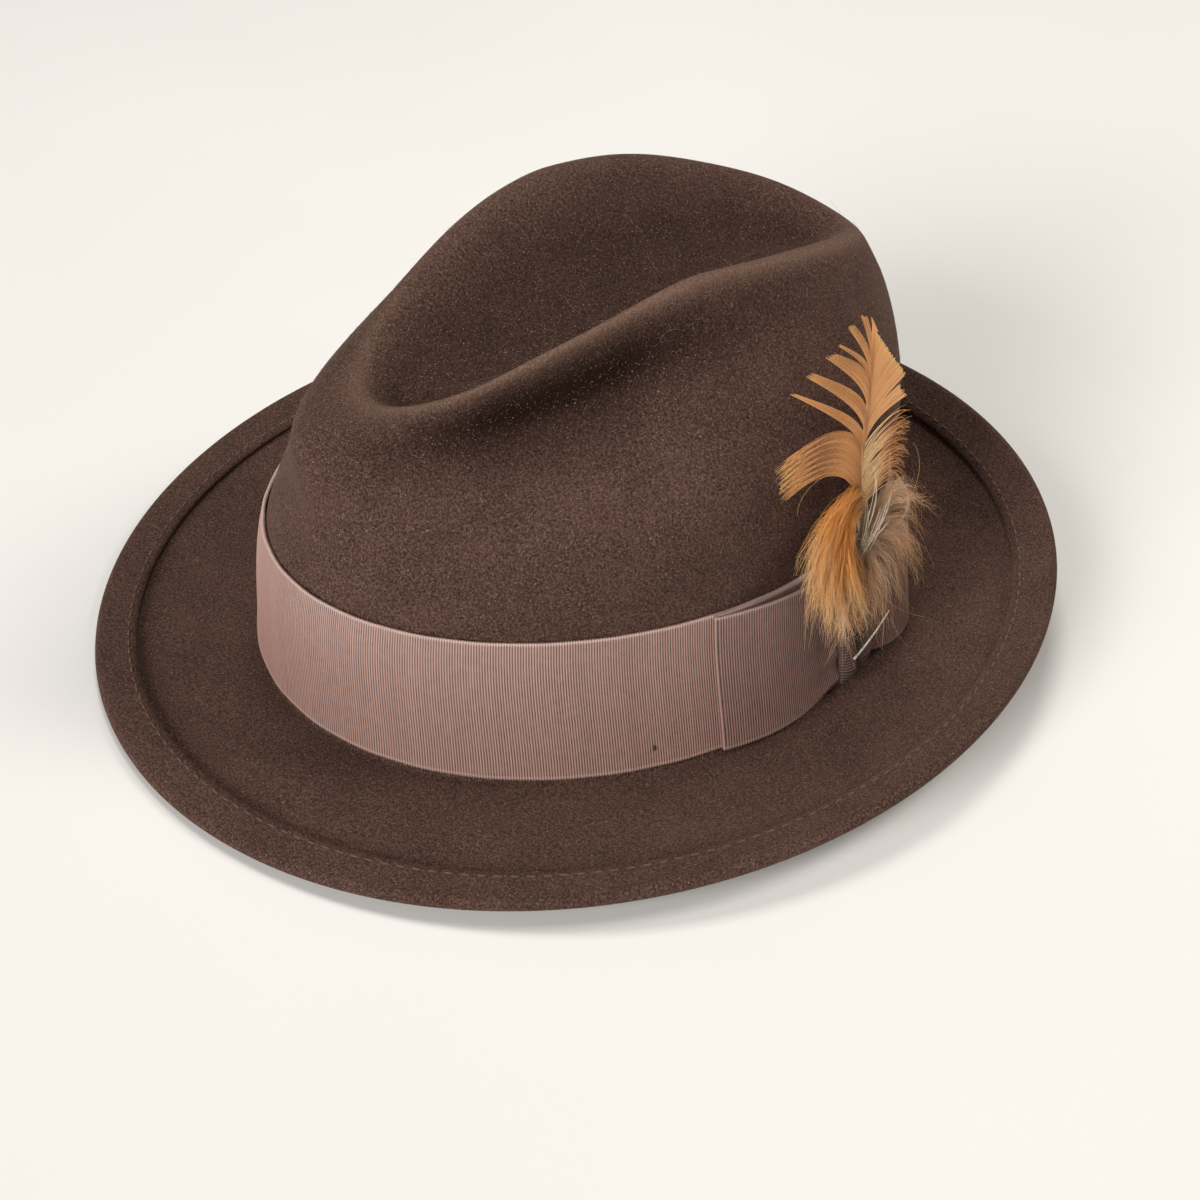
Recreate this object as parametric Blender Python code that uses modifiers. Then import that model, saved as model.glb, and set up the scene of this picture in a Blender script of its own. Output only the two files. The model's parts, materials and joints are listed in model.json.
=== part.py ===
"""Felt fedora with a creased crown, ribbon band, side bow and feather spray.

Metres, +Z up. -Y is the front of the hat and +X is the wearer's left.
The origin lies under the middle of the brim, on the surface that the hat rests on.
"""
import math
from functools import lru_cache

import bmesh
import bpy
from mathutils import Vector

# Brim
HAT_LENGTH = 0.3025
HAT_WIDTH = 0.2790
FELT_THICKNESS = 0.0018
BREAK_RADIUS = 0.0020
BREAK_FRONT_LIFT = 0.0015
EDGE_REAR_RISE = 0.0220
EDGE_REAR_POWER = 1.45
EDGE_SIDE_RISE = 0.0035
BRIM_CURL_POWER = 1.7
WELT_WIDTH = 0.0105
WELT_GAP = 0.0004

# Crown sections, from the break up to the crease
CROWN_LENGTH = 0.2040
CROWN_WIDTH = 0.1720
WALL_HEIGHT = 0.0430
WALL_TOP_LENGTH = 0.1970
WALL_TOP_WIDTH = 0.1560
WALL_TOP_TAPER = 0.05
BULGE_LENGTH = 0.1939
BULGE_WIDTH = 0.1464
BULGE_SHIFT = 0.0050
BULGE_TAPER = 0.077
BULGE_SHARE = 0.36
SHOULDER_LENGTH = 0.1924
SHOULDER_WIDTH = 0.1053
SHOULDER_SHIFT = 0.0029
SHOULDER_TAPER = 0.035
SHOULDER_SHARE = 0.84
PINCH_DEPTH = 0.0150
PINCH_SKEW = 0.35
PINCH_AZIMUTH = math.radians(53)
PINCH_SPREAD = math.radians(36)
DIP_DEPTH = 0.0120
DIP_AZIMUTH = math.radians(68)
DIP_SPREAD = math.radians(34)
RIDGE_LENGTH = 0.1622
RIDGE_WIDTH = 0.0773
RIDGE_SHIFT = 0.0114
RIDGE_TAPER = 0.07
RIDGE_HEIGHT = 0.1274
RIDGE_FRONT_DROP = 0.0328
RIDGE_FRONT_POWER = 1.45
RIDGE_REAR_DROP = 0.0194
RIDGE_REAR_POWER = 2
CREASE_LENGTH = 0.1120
CREASE_SHIFT = 0.0040
CREASE_HEIGHT = 0.0970
CREASE_FALL = 0.0055
CREASE_WALL_SHARE = 0.55
CREASE_WALL_SAG = 0.0035

# Ribbon band and bow
SEAT_GAP = 0.0003
RIBBON_WIDTH = 0.0425
RIBBON_THICKNESS = 0.0008
BAND_BUTT_GAP = 0.0010
BOW_AZIMUTH = math.radians(113)
FRONT_WING_LENGTH = 0.0465
REAR_WING_LENGTH = 0.0480
FRONT_WING_LOFT = 0.0016
REAR_WING_LOFT = 0.0060
KNOT_WIDTH = 0.0200
KNOT_HEIGHT = 0.0380
KNOT_ROUNDNESS = 0.6
TACK_LENGTH = 0.0030
TACK_RADIUS = 0.0004
TACK_HEIGHT = 0.0050
TACK_AZIMUTHS = [math.radians(angle) for angle in (73, -55, -150)]

# Inside of the crown
SWEATBAND_HEIGHT = 0.0480
SWEATBAND_THICKNESS = 0.0011
SWEATBAND_SEAM_GAP = 0.0006
REED_RADIUS = 0.0011
LINING_THICKNESS = 0.0005
LINING_CLEARANCE = 0.0008
LINING_SEAM_SHARE = 0.5
LINING_SEAM_SPACE = 0.07
PIPING_RADIUS = 0.0008
THREAD_RADIUS = 0.0003
WELT_STITCH_INSET = 0.0082
SWEATBAND_STITCH_HEIGHT = 0.0055
SMALL_BOW_LENGTH = 0.0170
SMALL_BOW_HEIGHT = 0.0070
SMALL_BOW_LEVEL = 0.0140
SMALL_BOW_WAIST = 0.35

# Feather spray, measured from the foot of its quill
SHAFT_RADIUS = 0.0010
SHAFT_TIP_RADIUS = 0.0004
SHAFT_LENGTH = 0.0980
SHAFT_FOOT_HEIGHT = 0.0140
SPRAY_CURVE_RADIUS = 0.0950
VANE_THICKNESS = 0.0006
LEAF_CUT = 0.12
MAIN_VANE_BLUNTNESS = 0.2
CURLED_VANE_BLUNTNESS = 0.3
PALE_VANE_BLUNTNESS = 0.4
FLUFF_BLUNTNESS = 0.25
MAIN_VANE_END = 0.1020
MAIN_VANE_FRONT_WIDTH = 0.0250
MAIN_VANE_BACK_WIDTH = 0.0160
CURLED_VANE_START = 0.0520
CURLED_VANE_END = 0.0740
CURLED_VANE_LENGTH = 0.0340
CURLED_VANE_LIFT = 0.0070
PALE_VANE_END = 0.0860
PALE_VANE_WIDTH = 0.0190
FLUFF_THICKNESS = 0.0030
FLUFF_CLEARANCE = 0.0007
HACKLE_WIDTH = 0.0250
DOWN_WIDTH = 0.0200
DOWN_TOP = 0.0460
FLUFF_FOOT = 0.0060
BINDING_RADIUS = 0.0005
STUB_RADIUS = 0.0007
STUB_LENGTH = 0.0185
STUB_START = -0.0155
STUB_RISE = 0.0030

# Mesh resolution
ROUND_COLUMNS = 40
ROWS_PER_SECTION = 2
BRIM_ROWS = 5
WALL_ROWS = 4
SWEATBAND_ROWS = 6
PROFILE_STEPS = 14
LEAN_STEPS = 12
WING_STEPS = 7
WING_FOLD_STEPS = 4
KNOT_COLUMNS = 16
SMALL_BOW_COLUMNS = 8
SHAFT_STEPS = 6
STUB_STEPS = 2
MAIN_VANE_GRID = (6, 8)
CURLED_VANE_GRID = (7, 4)
PALE_VANE_GRID = (4, 7)
FLUFF_GRID = (4, 6)
BINDING_STEPS = 12
BREAK_ANGLES = [math.radians(angle) for angle in (35, 65)]
FOLD_ANGLES = [math.radians(angle) for angle in (60, 120, 180)]
TURN_STEP = 0.01
CLIMB_STEP = 0.001
SHARE_STEP = 0.01

FULL_TURN = 2 * math.pi
WELD_DISTANCE = 0.00001
RIDGE_SECTION = 4
BULGE_SECTION = RIDGE_SECTION - 2
WALL_SECTION = BULGE_SECTION - 1
CREASE_SECTION = RIDGE_SECTION + 2


def clear_scene():
    """Remove every object that is already in the scene."""
    for item in list(bpy.data.objects):
        bpy.data.objects.remove(item, do_unlink=True)


def material(name, color, roughness, metallic=0.0):
    """A plain surface of one colour."""
    surface = bpy.data.materials.new(name)
    surface.use_nodes = True
    shader = surface.node_tree.nodes["Principled BSDF"]
    shader.inputs["Base Color"].default_value = (*color, 1.0)
    shader.inputs["Roughness"].default_value = roughness
    shader.inputs["Metallic"].default_value = metallic
    return surface


def oval(length, width, azimuth, height, shift=0.0, taper=0.0):
    """A point on a level oval, with azimuth 0 at the front and a quarter turn at +X.

    Shift moves the oval to the back, and taper makes its front narrower than its back.
    """
    across = width / 2 * math.sin(azimuth) * (1 - taper * math.cos(azimuth))
    return Vector((across, shift - length / 2 * math.cos(azimuth), height))


def break_height(azimuth):
    """Height of the brim's top where it meets the crown."""
    return FELT_THICKNESS + BREAK_FRONT_LIFT * (1 + math.cos(azimuth)) / 2


def ridge_height(azimuth):
    """Height of the ridge around the crease, falling to the front and the back."""
    forward = math.cos(azimuth)
    if forward > 0:
        return RIDGE_HEIGHT - RIDGE_FRONT_DROP * forward ** RIDGE_FRONT_POWER
    return RIDGE_HEIGHT - RIDGE_REAR_DROP * (-forward) ** RIDGE_REAR_POWER


def pinch(azimuth):
    """Share of the front pinch at this azimuth, deeper on the wearer's left."""
    side = abs(math.remainder(azimuth, FULL_TURN))
    return math.exp(-((side - PINCH_AZIMUTH) / PINCH_SPREAD) ** 2) * (1 + PINCH_SKEW * math.sin(azimuth))


def dip(azimuth):
    """Share of the dip that leaves the ridge standing as a roll on the wearer's left."""
    turn = math.atan2(math.sin(azimuth - DIP_AZIMUTH), math.cos(azimuth - DIP_AZIMUTH))
    return math.exp(-(turn / DIP_SPREAD) ** 2)


@lru_cache(maxsize=None)
def crown_sections(azimuth):
    """Points where the crown's key sections cross this azimuth, from break to crease floor."""
    base = oval(CROWN_LENGTH, CROWN_WIDTH, azimuth, break_height(azimuth) + BREAK_RADIUS)
    wall_level = base.z + WALL_HEIGHT
    wall_top = oval(WALL_TOP_LENGTH, WALL_TOP_WIDTH, azimuth, wall_level, 0, WALL_TOP_TAPER)
    top = ridge_height(azimuth)
    bulge_level = wall_top.z + (top - wall_top.z) * BULGE_SHARE
    bulge = oval(BULGE_LENGTH, BULGE_WIDTH, azimuth, bulge_level, BULGE_SHIFT, BULGE_TAPER)
    shoulder_level = wall_top.z + (top - wall_top.z) * SHOULDER_SHARE - DIP_DEPTH * dip(azimuth)
    shoulder = oval(SHOULDER_LENGTH, SHOULDER_WIDTH, azimuth, shoulder_level,
                    SHOULDER_SHIFT, SHOULDER_TAPER)
    inward = -Vector((shoulder.x, shoulder.y, 0)).normalized()
    shoulder += inward * PINCH_DEPTH * pinch(azimuth)
    ridge = oval(RIDGE_LENGTH, RIDGE_WIDTH, azimuth, top, RIDGE_SHIFT, RIDGE_TAPER)
    floor_level = CREASE_HEIGHT - CREASE_FALL * math.cos(azimuth)
    floor = oval(CREASE_LENGTH, 0, azimuth, floor_level, CREASE_SHIFT)
    crease_wall = ridge.lerp(floor, CREASE_WALL_SHARE)
    crease_wall.z -= CREASE_WALL_SAG
    return base, wall_top, bulge, shoulder, ridge, crease_wall, floor


@lru_cache(maxsize=None)
def crown_knots(azimuth):
    """The sections with one more point past each end, which sets the end directions."""
    sections = crown_sections(azimuth)
    below = sections[0] * 2 - sections[1]
    across = Vector((-sections[-2].x, sections[-2].y, sections[-2].z))
    return [below, *sections, across]


def crown_point(azimuth, section):
    """A point on the crown's outside, between section 0 at the break and the crease floor."""
    knots = crown_knots(azimuth)
    index = min(int(section), CREASE_SECTION - 1)
    share = section - index
    before, start, end, after = knots[index:index + 4]
    span = (end - start).length
    start_slope = tangent(before, start, end) * span
    end_slope = tangent(start, end, after) * span
    square, cube = share ** 2, share ** 3
    return (start * (2 * cube - 3 * square + 1) + start_slope * (cube - 2 * square + share)
            + end * (3 * square - 2 * cube) + end_slope * (cube - square))


def tangent(before, here, after):
    """Direction of the smooth profile at a section, for unequal spacing."""
    first, second = (here - before).length, (after - here).length
    rise = (here - before) / first * second + (after - here) / second * first
    return rise / (first + second)


@lru_cache(maxsize=None)
def wall_path(azimuth):
    """The crown's profile with the distance walked from the break, as far as the ridge."""
    path = [(0.0, crown_point(azimuth, 0))]
    for step in range(1, RIDGE_SECTION * PROFILE_STEPS + 1):
        point = crown_point(azimuth, step / PROFILE_STEPS)
        path.append((path[-1][0] + (point - path[-1][1]).length, point))
    return path


def wall_at(azimuth, climb):
    """The point on the felt's outside after climbing this far from the break."""
    path = wall_path(azimuth)
    for (low, start), (high, end) in zip(path, path[1:]):
        if climb <= high:
            break
    return start.lerp(end, (climb - low) / (high - low))


def wall_normal(azimuth, climb):
    """Outward direction of the crown's wall."""
    along = wall_at(azimuth + TURN_STEP, climb) - wall_at(azimuth - TURN_STEP, climb)
    upward = wall_at(azimuth, climb + CLIMB_STEP) - wall_at(azimuth, max(climb - CLIMB_STEP, 0))
    return along.cross(upward).normalized()


def wall_point(azimuth, climb, offset):
    """A point at this offset outside the crown's wall."""
    return wall_at(azimuth, climb) + wall_normal(azimuth, climb) * offset


def wall_turn(azimuth, length):
    """The change of azimuth that covers this length along the band."""
    middle = RIBBON_WIDTH / 2
    covered = wall_at(azimuth + TURN_STEP, middle) - wall_at(azimuth - TURN_STEP, middle)
    return length * 2 * TURN_STEP / covered.length


def edge_height(azimuth):
    """Height of the brim's top at its edge: down in front, turned up at the back."""
    backward = (1 - math.cos(azimuth)) / 2
    rise = EDGE_REAR_RISE * backward ** EDGE_REAR_POWER
    return FELT_THICKNESS + rise + EDGE_SIDE_RISE * math.sin(azimuth) ** 2


def brim_point(azimuth, share):
    """A point on the brim's top. Share 0 is beside the break and 1 is at the fold of the edge."""
    base = crown_sections(azimuth)[0]
    fold = FELT_THICKNESS + WELT_GAP / 2
    edge = oval(HAT_LENGTH - 2 * fold, HAT_WIDTH - 2 * fold, azimuth, 0)
    outward = Vector((edge.x - base.x, edge.y - base.y, 0)).normalized()
    start = Vector((base.x, base.y, 0)) + outward * BREAK_RADIUS
    point = start.lerp(edge, share)
    low = break_height(azimuth)
    point.z = low + (edge_height(azimuth) - low) * share ** BRIM_CURL_POWER
    return point


def brim_directions(azimuth, share):
    """Outward and upward directions of the brim's top at a point."""
    outward = (brim_point(azimuth, share) - brim_point(azimuth, share - SHARE_STEP)).normalized()
    along = brim_point(azimuth + TURN_STEP, share) - brim_point(azimuth - TURN_STEP, share)
    return outward, outward.cross(along).normalized()


def brim_share(azimuth, inset):
    """The share of the brim that lies this far inside its edge."""
    return 1 - inset / (brim_point(azimuth, 1) - brim_point(azimuth, 0)).length


def felt_path(azimuth):
    """The felt's outer face from the crease floor, over the brim and into the folded welt."""
    upper_rows = (CREASE_SECTION - WALL_SECTION) * ROWS_PER_SECTION
    sections = [CREASE_SECTION - row / ROWS_PER_SECTION for row in range(upper_rows)]
    sections += [WALL_SECTION - row / WALL_ROWS for row in range(WALL_ROWS + 1)]
    path = [crown_point(azimuth, section) for section in sections]
    base = path[-1]
    start = brim_point(azimuth, 0)
    outward = Vector((start.x - base.x, start.y - base.y, 0)).normalized()
    for angle in BREAK_ANGLES:
        path.append(base + outward * BREAK_RADIUS * (1 - math.cos(angle))
                    - Vector((0, 0, BREAK_RADIUS * math.sin(angle))))
    path += [brim_point(azimuth, row / BRIM_ROWS) for row in range(BRIM_ROWS + 1)]
    edge = path[-1]
    outward, upward = brim_directions(azimuth, 1)
    bend = WELT_GAP / 2
    for angle in FOLD_ANGLES:
        path.append(edge + outward * bend * math.sin(angle) + upward * bend * (1 - math.cos(angle)))
    for inset in (WELT_WIDTH / 2, WELT_WIDTH):
        share = brim_share(azimuth, inset)
        path.append(brim_point(azimuth, share) + brim_directions(azimuth, share)[1] * WELT_GAP)
    return path


def add_object(name, data, surface):
    """Put a mesh or curve into the hat's collection, with its material."""
    item = bpy.data.objects.new(name, data)
    data.materials.append(surface)
    bpy.data.collections["fedora_hat"].objects.link(item)
    return item


def grid_mesh(name, columns, rows, place):
    """A grid whose corners are moved by place(u, v), with meeting corners welded."""
    mesh_builder = bmesh.new()
    bmesh.ops.create_grid(mesh_builder, x_segments=columns, y_segments=rows, size=0.5)
    for corner in mesh_builder.verts:
        corner.co = place(corner.co.x + 0.5, corner.co.y + 0.5)
    bmesh.ops.remove_doubles(mesh_builder, verts=mesh_builder.verts[:], dist=WELD_DISTANCE)
    mesh = bpy.data.meshes.new(name)
    mesh_builder.to_mesh(mesh)
    mesh_builder.free()
    mesh.shade_smooth()
    return mesh


def shell(name, surface, columns, rows, place, depth, thickness):
    """A sheet of even thickness that starts at this depth under the surface of place(u, v)."""
    item = add_object(name, grid_mesh(name, columns, rows, place), surface)
    wall = item.modifiers.new("thickness", "SOLIDIFY")
    wall.thickness = thickness
    wall.offset = -1 - 2 * depth / thickness
    wall.use_even_offset = True
    wall.use_quality_normals = True
    return item


def tube(name, surface, points, radius, closed=False, end_radius=None):
    """A round cord or thread through the points."""
    curve = bpy.data.curves.new(name, "CURVE")
    curve.dimensions = "3D"
    curve.bevel_depth = radius
    curve.bevel_resolution = 0
    curve.use_fill_caps = not closed
    line = curve.splines.new("POLY")
    line.points.add(len(points) - 1)
    line.use_cyclic_u = closed
    for index, (knot, point) in enumerate(zip(line.points, points)):
        knot.co = (*point, 1)
        if end_radius:
            knot.radius = 1 + (end_radius / radius - 1) * index / (len(points) - 1)
    return add_object(name, curve, surface)


def ring_points(place):
    """Points right round the hat, from place(azimuth)."""
    return [place(FULL_TURN * step / ROUND_COLUMNS) for step in range(ROUND_COLUMNS)]


def strip_azimuths(seam, gap):
    """Azimuths right round the hat from a seam, in line with the felt's own columns."""
    column = FULL_TURN / ROUND_COLUMNS
    first = math.floor((seam + gap) / column) + 1
    last = math.ceil((seam + FULL_TURN - gap) / column) - 1
    between = [column * step for step in range(first, last + 1)]
    return [seam + gap / 2, *between, seam + FULL_TURN - gap / 2]


def make_felt_body(felt):
    """Crown, brim and folded welt: one blocked piece of felt."""
    paths = [felt_path(FULL_TURN * (step % ROUND_COLUMNS) / ROUND_COLUMNS)
             for step in range(ROUND_COLUMNS + 1)]
    rows = len(paths[0]) - 1

    def place(along, around):
        return paths[round(around * ROUND_COLUMNS)][round(along * rows)]

    shell("felt_body", felt, rows, ROUND_COLUMNS, place, 0, FELT_THICKNESS)


def make_welt_stitching(thread):
    """The row of stitches on top of the welt, as one line of thread."""
    height = WELT_GAP + FELT_THICKNESS + SEAT_GAP + THREAD_RADIUS

    def place(azimuth):
        share = brim_share(azimuth, WELT_STITCH_INSET)
        return brim_point(azimuth, share) + brim_directions(azimuth, share)[1] * height

    tube("welt_stitching", thread, ring_points(place), THREAD_RADIUS, closed=True)


def make_hat_band(ribbon):
    """The ribbon round the crown, whose ends meet under the bow."""
    azimuths = strip_azimuths(BOW_AZIMUTH, wall_turn(BOW_AZIMUTH, BAND_BUTT_GAP))
    columns = len(azimuths) - 1

    def place(around, climb):
        return wall_at(azimuths[round(around * columns)], climb * RIBBON_WIDTH)

    shell("hat_band", ribbon, columns, WALL_ROWS, place,
          -SEAT_GAP - RIBBON_THICKNESS, RIBBON_THICKNESS)


def wing_offsets():
    """Mid-thickness offsets of a bow wing's inner and outer layers."""
    inner = 2 * SEAT_GAP + 1.5 * RIBBON_THICKNESS
    return inner, inner + SEAT_GAP + RIBBON_THICKNESS


def make_bow_wing(name, ribbon, direction, length, loft):
    """A loop of ribbon folded at its far end, beside the knot."""
    inner, outer = wing_offsets()
    bend = (outer - inner) / 2
    path = [(step / WING_STEPS, inner, 0) for step in range(WING_STEPS + 1)]
    for step in range(1, WING_FOLD_STEPS):
        angle = math.pi * step / WING_FOLD_STEPS
        path.append((1, inner + bend * (1 - math.cos(angle)), bend * math.sin(angle)))
    path += [(1 - step / WING_STEPS, outer, 0) for step in range(WING_STEPS + 1)]
    start = wall_turn(BOW_AZIMUTH, BAND_BUTT_GAP / 2)

    def place(along, climb):
        share, offset, past = path[round(along * (len(path) - 1))]
        clear = max(share * length - KNOT_WIDTH / 2, 0) / (length - KNOT_WIDTH / 2)
        puff = loft * math.sin(math.pi * clear) if offset == outer else 0
        reach = wall_turn(BOW_AZIMUTH, share * length + past)
        return wall_point(BOW_AZIMUTH + direction * (start + reach), climb * RIBBON_WIDTH, offset + puff)

    shell(name, ribbon, len(path) - 1, WALL_ROWS, place, -RIBBON_THICKNESS / 2, RIBBON_THICKNESS)


def knot_seat():
    """Offset of the knot's inner face where its sides lie on the wings."""
    return wing_offsets()[1] + RIBBON_THICKNESS / 2 + SEAT_GAP


def knot_lift():
    """How far the knot's pleats stand off the wings: room for the quill in the pocket."""
    return 2 * SHAFT_RADIUS + 3 * SEAT_GAP


def quill_azimuth():
    """Azimuth of the quill, in the middle of the knot's rear pleat."""
    return BOW_AZIMUTH + wall_turn(BOW_AZIMUTH, KNOT_WIDTH / 4)


@lru_cache(maxsize=None)
def quill_lean():
    """Extra lean of the quill, where the crown above the band stands out further than the band."""
    azimuth, offset = quill_azimuth(), knot_seat() + SHAFT_RADIUS
    foot = wall_point(azimuth, SHAFT_FOOT_HEIGHT, offset)
    facing = wall_normal(azimuth, SHAFT_FOOT_HEIGHT)
    climbs = [RIBBON_WIDTH + SHAFT_LENGTH * step / LEAN_STEPS for step in range(LEAN_STEPS)]
    reaches = [wall_point(azimuth, climb, offset) - foot for climb in climbs]
    slopes = [facing.dot(reach) / reach.length for reach in reaches]
    return max(slopes) - slopes[0]


def make_bow_knot(ribbon):
    """Two upright pleats over the middle of the bow, open on top as a pocket for the quill."""
    half = wall_turn(BOW_AZIMUTH, KNOT_WIDTH / 2)
    foot = (RIBBON_WIDTH - KNOT_HEIGHT) / 2

    def place(across, climb):
        swell = abs(math.sin(2 * math.pi * across)) ** KNOT_ROUNDNESS
        climbed = foot + climb * KNOT_HEIGHT
        lift = knot_lift() + quill_lean() * max(climbed - SHAFT_FOOT_HEIGHT, 0)
        azimuth = BOW_AZIMUTH + (2 * across - 1) * half
        return wall_point(azimuth, climbed, knot_seat() + RIBBON_THICKNESS + lift * swell)

    shell("bow_knot", ribbon, KNOT_COLUMNS, WALL_ROWS, place, 0, RIBBON_THICKNESS)


def make_band_tacks(thread):
    """Short stitches that hold the band to the crown."""
    offset = 2 * SEAT_GAP + RIBBON_THICKNESS + TACK_RADIUS
    for number, azimuth in enumerate(TACK_AZIMUTHS, start=1):
        climbs = (TACK_HEIGHT, TACK_HEIGHT + TACK_LENGTH)
        points = [wall_point(azimuth, climb, offset) for climb in climbs]
        tube(f"band_tack_{number}", thread, points, TACK_RADIUS)


def lining_depth():
    """Depth of the lining under the felt's outside."""
    return FELT_THICKNESS + LINING_CLEARANCE


def sweatband_depth():
    """Depth of the sweatband, which lies over the lining's lower edge."""
    return lining_depth() + LINING_THICKNESS + SEAT_GAP


def sweatband_foot():
    """Climb of the sweatband's lower edge, just above the reed."""
    return 2 * REED_RADIUS + SEAT_GAP


def make_sweatband(leather):
    """The leather strip round the inside, whose ends meet at the back."""
    azimuths = strip_azimuths(math.pi, wall_turn(math.pi, SWEATBAND_SEAM_GAP))
    columns = len(azimuths) - 1

    def place(around, climb):
        climbed = sweatband_foot() + climb * SWEATBAND_HEIGHT
        return wall_at(azimuths[round(around * columns)], climbed)

    shell("sweatband", leather, columns, SWEATBAND_ROWS, place, sweatband_depth(), SWEATBAND_THICKNESS)


def make_reed(plastic):
    """The round reed that stiffens the sweatband's lower edge."""
    depth = FELT_THICKNESS + 2 * SEAT_GAP + REED_RADIUS
    points = ring_points(lambda azimuth: wall_point(azimuth, REED_RADIUS, -depth))
    tube("sweatband_reed", plastic, points, REED_RADIUS, closed=True)


def make_sweatband_stitching(thread):
    """The line of thread that sews the sweatband to the felt."""
    depth = sweatband_depth() + SWEATBAND_THICKNESS + SEAT_GAP + THREAD_RADIUS
    points = ring_points(lambda azimuth: wall_point(azimuth, SWEATBAND_STITCH_HEIGHT, -depth))
    tube("sweatband_stitching", thread, points, THREAD_RADIUS, closed=True)


def make_sweatband_bow(ribbon):
    """The small bow that covers the sweatband's seam at the back."""
    half = wall_turn(math.pi, SMALL_BOW_LENGTH / 2)

    def place(across, climb):
        waist = SMALL_BOW_WAIST + (1 - SMALL_BOW_WAIST) * abs(2 * across - 1)
        level = SMALL_BOW_LEVEL + (climb - 0.5) * SMALL_BOW_HEIGHT * waist
        return wall_at(math.pi + (2 * across - 1) * half, level)

    depth = sweatband_depth() + SWEATBAND_THICKNESS + 2 * SEAT_GAP
    shell("sweatband_bow", ribbon, SMALL_BOW_COLUMNS, WALL_ROWS, place, depth, RIBBON_THICKNESS)


def lining_seam():
    """Section of the lining's seam, above the crown's bulge."""
    return BULGE_SECTION + LINING_SEAM_SHARE


def make_lining(satin):
    """The satin lining: a side piece round the wall and a tip under the crease."""
    side_span = lining_seam() - WALL_SECTION
    tip_span = CREASE_SECTION - lining_seam()
    side_rows, tip_rows = round(side_span * ROWS_PER_SECTION), round(tip_span * ROWS_PER_SECTION)

    def side(along, around):
        azimuth = FULL_TURN * (round(around * ROUND_COLUMNS) % ROUND_COLUMNS) / ROUND_COLUMNS
        return crown_point(azimuth, lining_seam() - along * side_span)

    def tip(along, around):
        azimuth = FULL_TURN * (round(around * ROUND_COLUMNS) % ROUND_COLUMNS) / ROUND_COLUMNS
        section = max(CREASE_SECTION - along * tip_span, lining_seam() + LINING_SEAM_SPACE)
        return crown_point(azimuth, section)

    shell("lining_side", satin, side_rows, ROUND_COLUMNS, side, lining_depth(), LINING_THICKNESS)
    shell("lining_tip", satin, tip_rows, ROUND_COLUMNS, tip, lining_depth(), LINING_THICKNESS)


def make_lining_piping(satin):
    """The cord that covers the seam between the lining's side and tip."""
    depth = lining_depth() + LINING_THICKNESS + SEAT_GAP + PIPING_RADIUS

    def place(azimuth):
        middle = crown_point(azimuth, lining_seam())
        upward = crown_point(azimuth, lining_seam() + SHARE_STEP) - middle
        along = (crown_point(azimuth + TURN_STEP, lining_seam())
                 - crown_point(azimuth - TURN_STEP, lining_seam()))
        return middle - along.cross(upward).normalized() * depth

    tube("lining_piping", satin, ring_points(place), PIPING_RADIUS, closed=True)


@lru_cache(maxsize=None)
def spray_frame():
    """The quill's foot in the rear pleat, and the directions back, up and out from it."""
    azimuth = quill_azimuth()
    offset = knot_seat() + SHAFT_RADIUS
    foot = wall_point(azimuth, SHAFT_FOOT_HEIGHT, offset)
    facing = wall_normal(azimuth, SHAFT_FOOT_HEIGHT)
    along_band = (wall_point(azimuth, RIBBON_WIDTH, offset) - foot).normalized()
    upward = (along_band + facing * quill_lean()).normalized()
    back = upward.cross(facing).normalized()
    return foot, back, upward, back.cross(upward)


def spray_point(side, rise, lift):
    """A point beside the quill, curved round the crown. Side is positive to the back."""
    foot, back, upward, outward = spray_frame()
    angle = side / SPRAY_CURVE_RADIUS
    round_out = outward * math.cos(angle) + back * math.sin(angle)
    centre = foot - outward * SPRAY_CURVE_RADIUS
    return centre + round_out * (SPRAY_CURVE_RADIUS + lift) + upward * rise


def band_top_rise():
    """How far the band's top edge lies above the quill's foot."""
    return RIBBON_WIDTH - SHAFT_FOOT_HEIGHT


def vane_start():
    """Where the vanes begin, clear of the binding above the band."""
    return band_top_rise() + 4 * BINDING_RADIUS + 2 * SEAT_GAP


def leaf(share, blunt):
    """Width share of a leaf outline, from its root at 0 to its tip at 1."""
    return blunt + (1 - blunt) * math.sin(math.pi * (LEAF_CUT + (1 - 2 * LEAF_CUT) * share))


def make_feather_shaft(horn):
    """The main quill, from the pocket in the knot to the feather's tip."""
    points = [spray_point(0, SHAFT_LENGTH * step / SHAFT_STEPS, 0) for step in range(SHAFT_STEPS + 1)]
    tube("feather_shaft", horn, points, SHAFT_RADIUS, end_radius=SHAFT_TIP_RADIUS)


def make_spray_binding(thread):
    """The turn of thread that ties the quills together above the band."""
    radius = SHAFT_RADIUS + SEAT_GAP + BINDING_RADIUS
    rise = band_top_rise() + 2 * BINDING_RADIUS
    points = []
    for step in range(BINDING_STEPS):
        angle = FULL_TURN * step / BINDING_STEPS
        points.append(spray_point(radius * math.cos(angle), rise, radius * math.sin(angle)))
    tube("spray_binding", thread, points, BINDING_RADIUS, closed=True)


def make_main_vane(barbs):
    """The tall trimmed vane behind the quill, broadest at its middle."""
    lift = -SHAFT_RADIUS - SEAT_GAP

    def place(across, climb):
        width = MAIN_VANE_FRONT_WIDTH + MAIN_VANE_BACK_WIDTH
        side = (across * width - MAIN_VANE_FRONT_WIDTH) * leaf(climb, MAIN_VANE_BLUNTNESS)
        return spray_point(side, vane_start() + climb * (MAIN_VANE_END - vane_start()), lift)

    shell("main_feather", barbs, *MAIN_VANE_GRID, place, 0, VANE_THICKNESS)


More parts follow.
